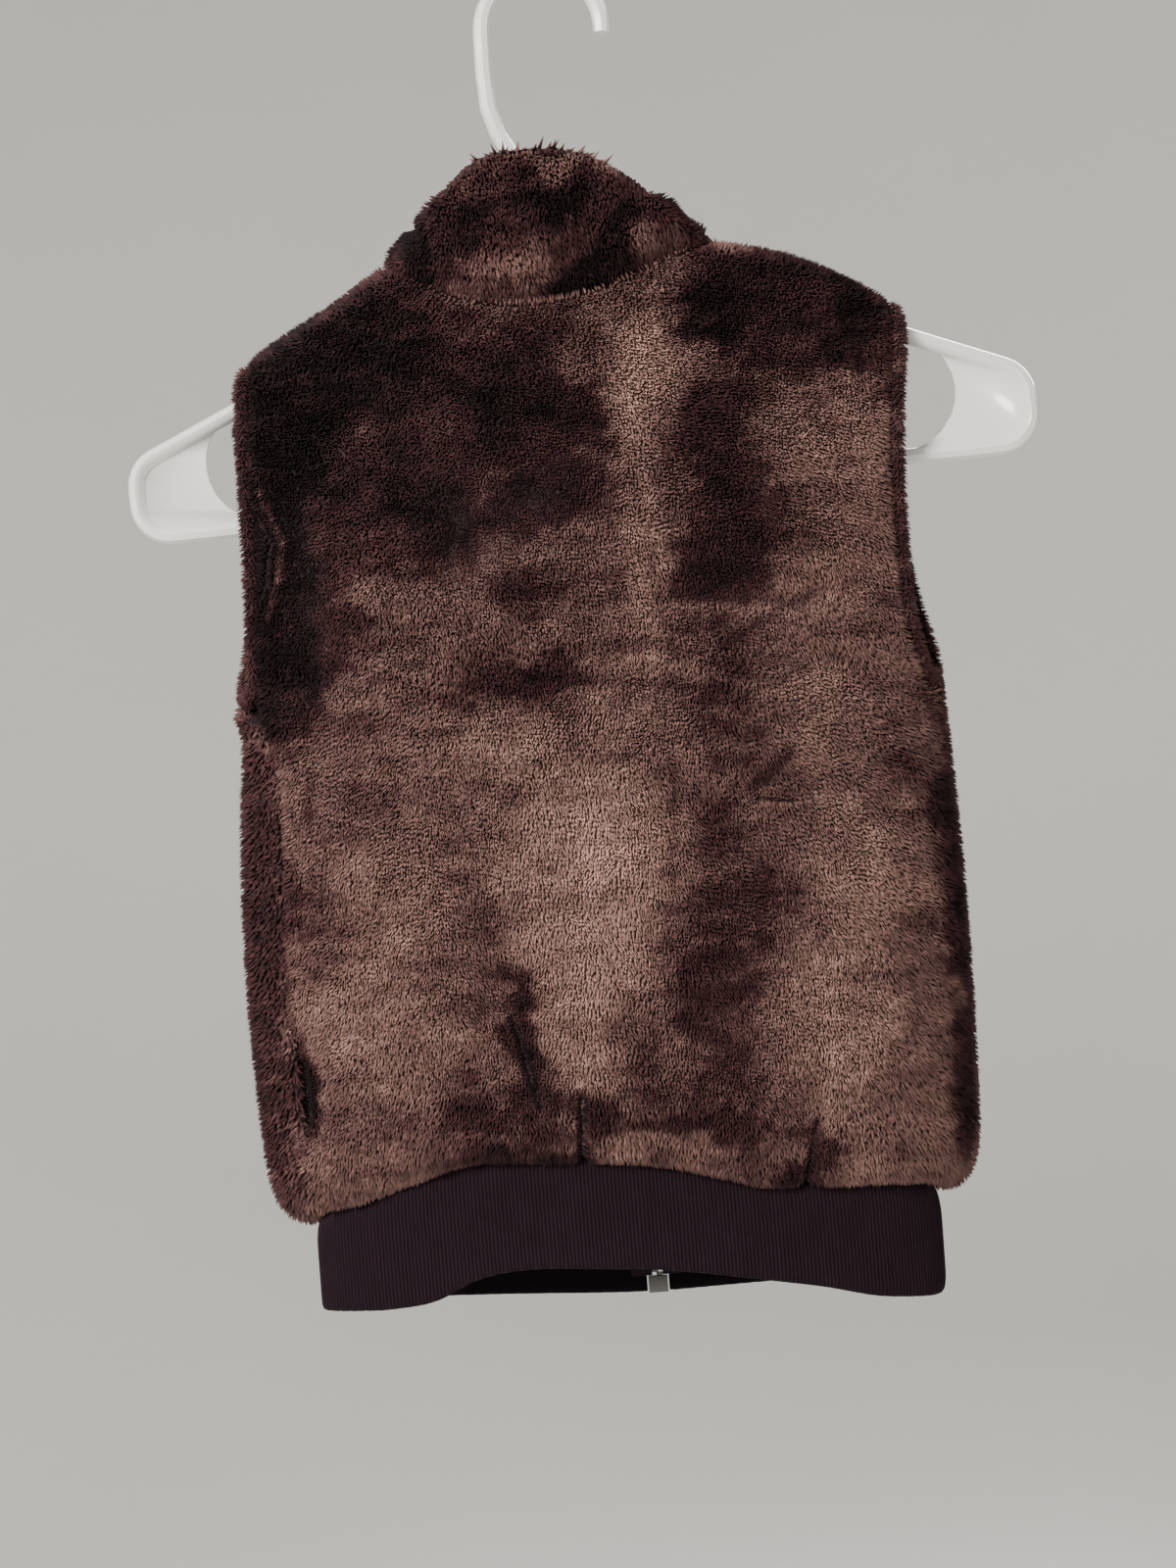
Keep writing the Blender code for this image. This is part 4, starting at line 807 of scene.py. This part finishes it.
def furShell(name, node, look, materials):
    # The cloth that carries the pile: the solid's wall, thinned from outside by the pile's height.
    shaped = cadCopy(node)
    if look["round"]:
        outer = set(shaped.faces)
    else:
        outer = outerFaces(shaped, look["limit"], look["axisTop"])
    wall = BVHTree.FromBMesh(shaped)
    pileLayer = shaped.verts.layers.float.new("pile")
    crease = shaped.edges.layers.float.new("crease_edge")
    outward = {}
    for face in outer:
        for vert in face.verts:
            outward[vert] = outward.get(vert, Vector()) + face.normal * face.calc_area()
    for face in shaped.faces:
        face.smooth = True
        isRim = any(vert in outward for vert in face.verts)
        face.material_index = 0 if isRim else 1
        if isRim:
            long = look["hanging"] if face.normal.z < -look["lowerEdge"] else 1.0
            for vert in face.verts:
                vert[pileLayer] = max(vert[pileLayer], look["rimPile"] * long)
    for edge in shaped.edges:
        if edge.calc_face_angle(0.0) > look["limit"] and not look["round"]:
            edge[crease] = look["sharp"]
    aside = {}
    for face in shaped.faces:
        if face not in outer and any(vert in outward for vert in face.verts):
            for vert in face.verts:
                aside[vert] = aside.get(vert, Vector()) + face.normal * face.calc_area()
    moved = []
    for vert, normal in outward.items():
        normal.normalize()
        start = look["probe"]
        hit, _, _, away = wall.ray_cast(vert.co - normal * start, -normal, look["reach"])
        thick = away + start if hit else look["wall"]
        pile = max(min(look["pile"], thick - look["cloth"]), look["least"])
        vert[pileLayer] = pile
        moved.append((vert, vert.co - normal * pile))
    for vert, place in moved:
        vert.co = place
    for vert, normal in aside.items():
        vert.co += normal.normalized() * look["seam"]
    shell = meshObject(name, shaped, materials)
    shell.data = settled(shell, 1)
    creaseCloth(shell.data, look["creases"])
    shell.data.shade_smooth()
    return shell


def creaseCloth(mesh, creases):
    # Lifts and sinks the outer side alone, so the rims stay on their seams.
    places = rowsOf(mesh.vertices, "co")
    normals = rowsOf(mesh.vertices, "normal")
    outside = np.zeros(len(places), bool)
    for face in mesh.polygons:
        if face.material_index == 0:
            outside[list(face.vertices)] = True
    for face in mesh.polygons:
        if face.material_index != 0:
            outside[list(face.vertices)] = False
    rise = reliefAt(creases, places[:, 0] / mm, places[:, 2] / mm) * outside
    places += normals * rise[:, None] * mm
    mesh.vertices.foreach_set("co", places.ravel())
    mesh.update()


# How the painted light and shade of the marks and lines become the pile's tone, with tone that
# differs at random on top.
paintedShadingAndTone = {
    "middle": 0.46,
    "range": 0.34,
    "most": (-1.35, 1.3),  # marks that overlap go no further
    "fade": 1.7,  # how sharply a mark ends
    "wanderX": ((8.0, 17), (4.0, 5)),  # mm by which marks wander, and each wave's length in mm
    "wanderZ": ((8.0, 15), (4.0, 5)),
    "fields": ((0.08, 26),),  # how far the tone varies, and over what length
    "streaks": ((0.11, 8),),
    "streakShape": (0.6, 1.0, 1.5),
    "grain": ((0.08, 2.6),),
    # how much darker the pile is painted where a parting opens, as shade
    "partingPaintedShade": 0.35,
}


def toneOf(places, look, seed):
    # How dark or light the pile is at each place, from 0 to 1: painted light and shade from the
    # lines and marks, and tone that differs at random.
    x, z = places[:, 0] / mm, places[:, 2] / mm
    tone = np.zeros(len(places))
    for x0, z0, x1, z1, reach, amount in look["lines"]:
        away, _ = fromLine(x, z, x0, z0, x1, z1)
        tone += amount * np.exp(-((away / reach) ** 2))
    x = x + waves(places, paintedShadingAndTone["wanderX"], seed + 12)
    z = z + waves(places, paintedShadingAndTone["wanderZ"], seed + 14)
    for markX, markZ, wide, high, amount in look["marks"]:
        away = ((x - markX) / wide) ** 2 + ((z - markZ) / high) ** 2
        tone += amount * np.exp(-(away ** paintedShadingAndTone["fade"]))
    tone = paintedShadingAndTone["middle"] + paintedShadingAndTone["range"] * np.clip(tone, *paintedShadingAndTone["most"])
    streaks = places * np.array(paintedShadingAndTone["streakShape"])
    tone += waves(places, paintedShadingAndTone["fields"], seed + 9)
    tone += waves(streaks, paintedShadingAndTone["streaks"], seed + 10)
    return tone + waves(places, paintedShadingAndTone["grain"], seed + 11)


def toneCloth(mesh, look, seed):
    # The cloth under the pile takes the pile's painted light and shade, and is as dark as the
    # roots, painted shade deep in the pile.
    marks = np.ones((len(mesh.vertices), 4))
    marks[:, 0] = look["clothAlong"]
    marks[:, 1] = np.clip(toneOf(rowsOf(mesh.vertices, "co"), look, seed), 0.0, 1.0)
    marks[:, 2] = 0.5
    mesh.attributes.new("fur", "FLOAT_COLOR", "POINT").data.foreach_set("color", marks.ravel())


napping = {
    "forward": 0.35,  # how far the nap turns out as it falls
    "turn": ((0.35, 22), (0.35, 7)),  # its turns aside: amount and length in mm
    "turnChance": 0.5,
    "lean": ((0.35, 16), (0.3, 4.5)),
    "height": 0.80,
    "heights": ((0.10, 3.2),),
    "heightChance": 0.12,
    "sweep": 0.9,
    "gather": ((0.5, 12),),
    "opened": (0.6, 0.8),  # how far a parting takes the nap away, and pushes the tufts aside
    "sunk": 0.6,  # how much lower they stand in it
    "core": 0.5,  # share of a parting's width that sinks
    "rooted": 0.4 * mm,  # how deep the tufts start in the cloth
    "widths": (0.8, 0.4),
}


def growFur(names, shell, look, material, seed):
    # Spikes over the shell's outer side, leaning with the nap and gathered in small clumps.
    mesh = settled(shell, 1)
    roots, normals, piles = scatter(mesh, look["density"], seed)
    bpy.data.meshes.remove(mesh)
    count = len(roots)
    x, z = roots[:, 0] / mm, roots[:, 2] / mm
    draw = np.random.default_rng(seed)
    chance, second, third = draw.random((3, count))
    facing = np.where(roots[:, 1:2] < 0.0, -1.0, 1.0)
    down = np.concatenate(
        (np.zeros((count, 1)), facing * napping["forward"], -np.ones((count, 1))), axis=1
    )
    nap = unitRows(down - normals * (down * normals).sum(axis=1, keepdims=True))
    side = np.cross(normals, nap)
    turn = waves(roots, napping["turn"], seed) + napping["turnChance"] * (second - 0.5)
    lean = look["lean"] * (1.0 + waves(roots, napping["lean"], seed + 2))
    push = nap * (lean * np.cos(turn))[:, None] + side * (lean * np.sin(turn))[:, None]
    height = napping["height"] + waves(roots, napping["heights"], seed + 4)
    height = (height + napping["heightChance"] * (third - 0.5)) * look["rise"]
    depth = np.zeros(count)
    away, aside = napping["opened"]
    for x0, z0, x1, z1, reach, strength in look["partings"]:
        gap, across = fromLine(x, z, x0, z0, x1, z1)
        near = strength * np.exp(-((gap / reach) ** 2))
        apart = np.stack((across[:, 0], np.zeros(count), across[:, 1]), axis=1)
        apart = unitRows(apart - normals * (apart * normals).sum(axis=1, keepdims=True))
        push = push * (1.0 - away * near)[:, None] + apart * (aside * near)[:, None]
        depth = np.maximum(depth, near * np.exp(-((gap / (napping["core"] * reach)) ** 2)))
    height *= 1.0 - napping["sunk"] * depth
    tips = roots + (normals * height[:, None] + push * napping["sweep"]) * piles[:, None]
    centre = clumpCentre(tips, look["clump"] * mm, seed + 5)
    gather = centre - tips
    gather -= normals * (gather * normals).sum(axis=1, keepdims=True)
    pull = look["pull"] * (1.0 + waves(roots, napping["gather"], seed + 8))
    tips += gather * pull[:, None]
    # Partings are painted darker, as shade in the opened pile.
    tone = np.clip(toneOf(roots, look, seed) - paintedShadingAndTone["partingPaintedShade"] * depth, 0.0, 1.0)
    roots = roots - normals * napping["rooted"]
    least, more = napping["widths"]
    width = look["width"] * mm * (least + more * second)
    order = np.argsort(-roots[:, 2], kind="stable")
    pieces = []
    for name, part in zip(names, np.array_split(order, len(names))):
        rows = (values[part] for values in (roots, tips, width, normals, tone, chance))
        pieces.append(tuftMesh(name, *rows, material))
    return pieces


panelLook = {
    "round": False,  # fur all round, as on the rolled edges
    "limit": math.radians(50.0),  # where the wall turns more than this, its outer side ends
    "axisTop": -0.2,  # m, how high the vest's inner line reaches
    "pile": 5.0 * mm,
    "rimPile": 3.0 * mm,
    "hanging": 2.4,  # how much longer the pile is on lower edges
    "lowerEdge": 0.5,  # how far a face looks down there
    "sharp": 0.9,  # crease of the rims
    "seam": 0.9 * mm,  # that sewn edges overlap
    "cloth": 3.0 * mm,
    "wall": 9.5 * mm,
    "least": 1.5 * mm,  # pile where the wall is thin
    "probe": 0.5 * mm,  # how far inside the wall its thickness is measured from
    "reach": 40 * mm,
    "lean": 0.5,
    "rise": 1.0,
    "clump": 2.6,  # mm
    "pull": 0.11,  # how far tips gather in a clump
    "lines": (),
    # The cloth sits low on the fibre, so it takes the roots' painted shade.
    "clothAlong": 0.05,  # how far up the pile the cloth's shade is
}
backLook = panelLook | {
    "creases": backCreases,
    "partings": backPartings,
    "marks": backShadingMarks,
    "lines": backShadingLines,
    "density": 1.05,  # tufts a square mm
    "width": 0.90,  # mm
}
frontLook = panelLook | {
    "creases": frontCreases,
    "partings": frontPartings,
    "marks": frontShadingMarks,
    "density": 0.33,
    "width": 1.18,
}
collarLook = panelLook | {
    "limit": math.radians(58.0),
    "axisTop": -0.13,
    "creases": collarCreases,
    "partings": collarPartings,
    "marks": collarShadingMarks,
    "lines": collarShadingLines,
    "density": 1.0,
    "width": 1.2,
    "seam": 1.2 * mm,
    "rimPile": 3.8 * mm,
    "clump": 3.2,
    "pull": 0.24,
    "lean": 0.7,
    "rise": 1.2,
}
trimLook = panelLook | {
    "round": True,
    "pile": 3.0 * mm,
    "creases": (),
    "partings": (),
    "marks": ((0, -250, 400, 200, -0.6),),
    "density": 1.5,
    "width": 0.75,
    "lean": 0.7,
    "rise": 1.35,
}


# Rib-knit band

bandShape = {
    "rows": 7,
    "middle": -0.577,  # m, a height between the band's two edges
    "tuck": (4.0, 1.5),  # mm that the upper edge reaches up and in under the fur
    "ridgeOut": 0.42,  # mm that a ridge goes out and a groove in before it is rounded
    "wave": 0.7,  # mm
    "waves": ((0.7, 24), (0.3, 11)),  # share and length in mm
    "waveStretch": (1.0, 1.0, 0.5),
    "roll": 1.1,  # mm that the lower edge turns in
    "rollHeight": 5.0,
    "rising": 12.0,  # mm, what an edge that runs up the band measures at least
    "level": 1.5,  # mm up or down within which a neighbour counts as beside
    "outward": 0.3,  # how far an outer face looks out
    "flat": 0.6,  # how far an upper or lower face looks up or down
}


def ribBand(materials):
    # The band's ribs, rounded, in gentle waves, with its lower edge rolled in.
    shaped = cadCopy("hem_band")
    ribLayer = shaped.verts.layers.float.new("rib")
    tall = bandShape["rising"] * mm
    rising = [e for e in shaped.edges if abs(e.verts[0].co.z - e.verts[1].co.z) > tall]
    bmesh.ops.subdivide_edges(shaped, edges=rising, cuts=bandShape["rows"], use_grid_fill=True)
    low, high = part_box("hem_band")
    middle = (low + high) / 2
    half = (high - low) / 2
    shaped.normal_update()

    def away(place):
        # Straight out of the band's oval.
        x = (place.x - middle.x) / half.x**2
        y = (place.y - middle.y) / half.y**2
        return Vector((x, y, 0.0)).normalized()

    outer = set()
    for face in shaped.faces:
        out = face.normal.dot(away(face.calc_center_median()))
        if out > bandShape["outward"] and abs(face.normal.z) < bandShape["flat"]:
            outer.update(face.verts)
    shift = {}
    for vert in outer:
        beside = [e.other_vert(vert) for e in vert.link_edges]
        level = bandShape["level"] * mm
        beside = [v for v in beside if v in outer and abs(v.co.z - vert.co.z) < level]
        if not beside:
            continue
        mean = sum((v.co for v in beside), Vector()) / len(beside)
        rise = (vert.co - mean).dot(away(vert.co))
        shift[vert] = away(vert.co) * math.copysign(bandShape["ridgeOut"] * mm, rise)
        vert[ribLayer] = 1.0 if rise > 0.0 else 0.0
    for vert, step in shift.items():
        vert.co += step
    places = np.array([v.co[:] for v in shaped.verts])
    wave = waves(places * np.array(bandShape["waveStretch"]), bandShape["waves"], 41)
    for vert, amount in zip(shaped.verts, wave):
        vert.co -= away(vert.co) * (0.5 + 0.5 * amount) * bandShape["wave"] * mm
        rolled = 1.0 - (vert.co.z - low.z) / (bandShape["rollHeight"] * mm)
        if rolled > 0.0 and vert in outer:
            vert.co -= away(vert.co) * rolled**2 * bandShape["roll"] * mm
    up, inward = bandShape["tuck"]
    flat = [face for face in shaped.faces if abs(face.normal.z) > bandShape["flat"]]
    rim = [face for face in flat if face.calc_center_median().z > bandShape["middle"]]
    for vert in {vert for face in rim for vert in face.verts}:
        vert.co.z += up * mm
        if vert in outer:
            vert.co -= away(vert.co) * inward * mm
    band = meshObject("hemBand", shaped, materials)
    band.data = settled(band, 1)
    band.data.shade_smooth()
    return band


# Zip

zipShape = {
    "pitch": 2.5,  # mm from tooth to tooth on one side
    "tooth": (3.1, 2.5, 1.25),  # mm across, deep and high
    "meet": 0.55,  # mm that a tooth reaches past the middle
    "bevel": 0.28,
    "edge": 0.25,  # mm, bevel of the slider, the pull and the box
    "edgeSteps": 2,
    "flat": math.radians(2.0),  # faces that turn less than this are one
    "sharp": math.radians(40.0),  # edges that turn more are rounded
    "smooth": math.radians(50.0),
}


def chainLine():
    # The middle of the zip at its heights, from the rows of its plain strip.
    shaped = cadCopy("zip_chain")
    places = np.array(sorted((v.co.z, v.co.x, v.co.y) for v in shaped.verts))
    shaped.free()
    return places.reshape(-1, 4, 3).mean(axis=1)  # four corners at each height


def zipTeeth(materials):
    # Single bevelled teeth from both tapes, one above the other in turn.
    line = chainLine()
    pitch = zipShape["pitch"] * mm
    across, deep, high = (s * mm for s in zipShape["tooth"])
    teeth = bmesh.new()
    count = int((line[-1, 0] - line[0, 0] - high) / (pitch / 2))
    for k in range(count):
        z = line[0, 0] + high / 2 + k * pitch / 2
        x = np.interp(z, line[:, 0], line[:, 1])
        y = np.interp(z, line[:, 0], line[:, 2])
        side = -1.0 if k % 2 else 1.0
        x += side * (across / 2 - zipShape["meet"] * mm)
        tooth = bmesh.ops.create_cube(teeth, size=1.0)["verts"]
        bmesh.ops.scale(teeth, vec=(across, deep, high), verts=tooth)
        bmesh.ops.translate(teeth, vec=(x, y, z), verts=tooth)
    bmesh.ops.bevel(
        teeth,
        geom=teeth.edges[:],
        offset=zipShape["bevel"] * mm,
        segments=1,
        profile=0.5,
        affect="EDGES",
        material=-1,
    )
    return meshObject("zipTeeth", teeth, materials)


def edgedMetal(name, node, materials):
    # A metal piece of the zip with its sharp edges rounded.
    shaped = cadCopy(node)
    bmesh.ops.dissolve_limit(
        shaped, angle_limit=zipShape["flat"], verts=shaped.verts, edges=shaped.edges
    )
    sharp = [e for e in shaped.edges if e.calc_face_angle(0.0) > zipShape["sharp"]]
    bmesh.ops.bevel(
        shaped,
        geom=sharp,
        offset=zipShape["edge"] * mm,
        offset_type="OFFSET",
        segments=zipShape["edgeSteps"],
        profile=0.5,
        affect="EDGES",
        clamp_overlap=True,
        material=-1,
    )
    piece = meshObject(name, shaped, materials)
    piece.data.shade_smooth()
    piece.data.set_sharp_from_angle(angle=zipShape["smooth"])
    return piece


tapeAngle = math.radians(40.0)  # edges that turn more stay sharp
hangerAngle = math.radians(38.0)


def smoothCopy(name, node, angle, materials):
    piece = meshObject(name, cadCopy(node), materials)
    piece.data.shade_smooth()
    piece.data.set_sharp_from_angle(angle=angle)
    return piece


# Making


addCamera()
addLights()
mottle = mottleGroup()
fur = plushMaterial(mottle)
backing = knitMaterial("knitBacking", mottle)
ribKnit = knitMaterial("ribKnit", mottle, ribbed=True)
tapeCloth = knitMaterial("zipTapeCloth", mottle)
metal = metalMaterial(mottle)
plastic = plasticMaterial(mottle)
addStage(paperMaterial(mottle))
print("stage, light and materials done")

# panel or edge, its node, its look, its fur, and the seed of its random numbers
cloth = [
    ("backPanel", "back", backLook, ("backFurUpper", "backFurMiddle", "backFurLower"), 11),
    ("frontPanelLeft", "front_left", frontLook, ("frontFurLeft",), 31),
    ("frontPanelRight", "front_right", frontLook, ("frontFurRight",), 51),
    ("collarPanel", "collar", collarLook, ("collarFur",), 71),
    ("armholeEdgeLeft", "armhole_trim_left", trimLook, ("armholeFurLeft",), 91),
    ("armholeEdgeRight", "armhole_trim_right", trimLook, ("armholeFurRight",), 111),
]
furs = {}
for name, node, look, furNames, seed in cloth:
    shell = furShell(name, node, look, [fur, backing])
    toneCloth(shell.data, look, seed)
    furs[name] = growFur(furNames, shell, look, fur, seed)
    for piece in (shell, *furs[name]):
        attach(piece, "root")
    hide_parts(node)
    tufts = sum(len(piece.data.vertices) // 4 for piece in furs[name])
    print(name, "has", tufts, "tufts and", len(shell.data.polygons), "faces of cloth")

band = ribBand([ribKnit])
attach(band, "root")
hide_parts("hem_band")
print("band has", len(band.data.polygons), "faces")

teeth = zipTeeth([metal])
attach(teeth, "root")
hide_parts("zip_chain")
for name, node, body in (
    ("zipSlider", "zip_slider", "root"),
    ("zipPull", "zip_pull", "zip_pull"),
    ("zipBox", "zip_box", "root"),
):
    piece = edgedMetal(name, node, [metal])
    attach(piece, body)
    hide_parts(node)
for name, node in (("zipTapeLeft", "zip_tape_left"), ("zipTapeRight", "zip_tape_right")):
    piece = smoothCopy(name, node, tapeAngle, [tapeCloth])
    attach(piece, "root")
    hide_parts(node)
hanger = smoothCopy("plasticHanger", "hanger", hangerAngle, [plastic])
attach(hanger, "root")
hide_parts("hanger")
print("zip and hanger done")
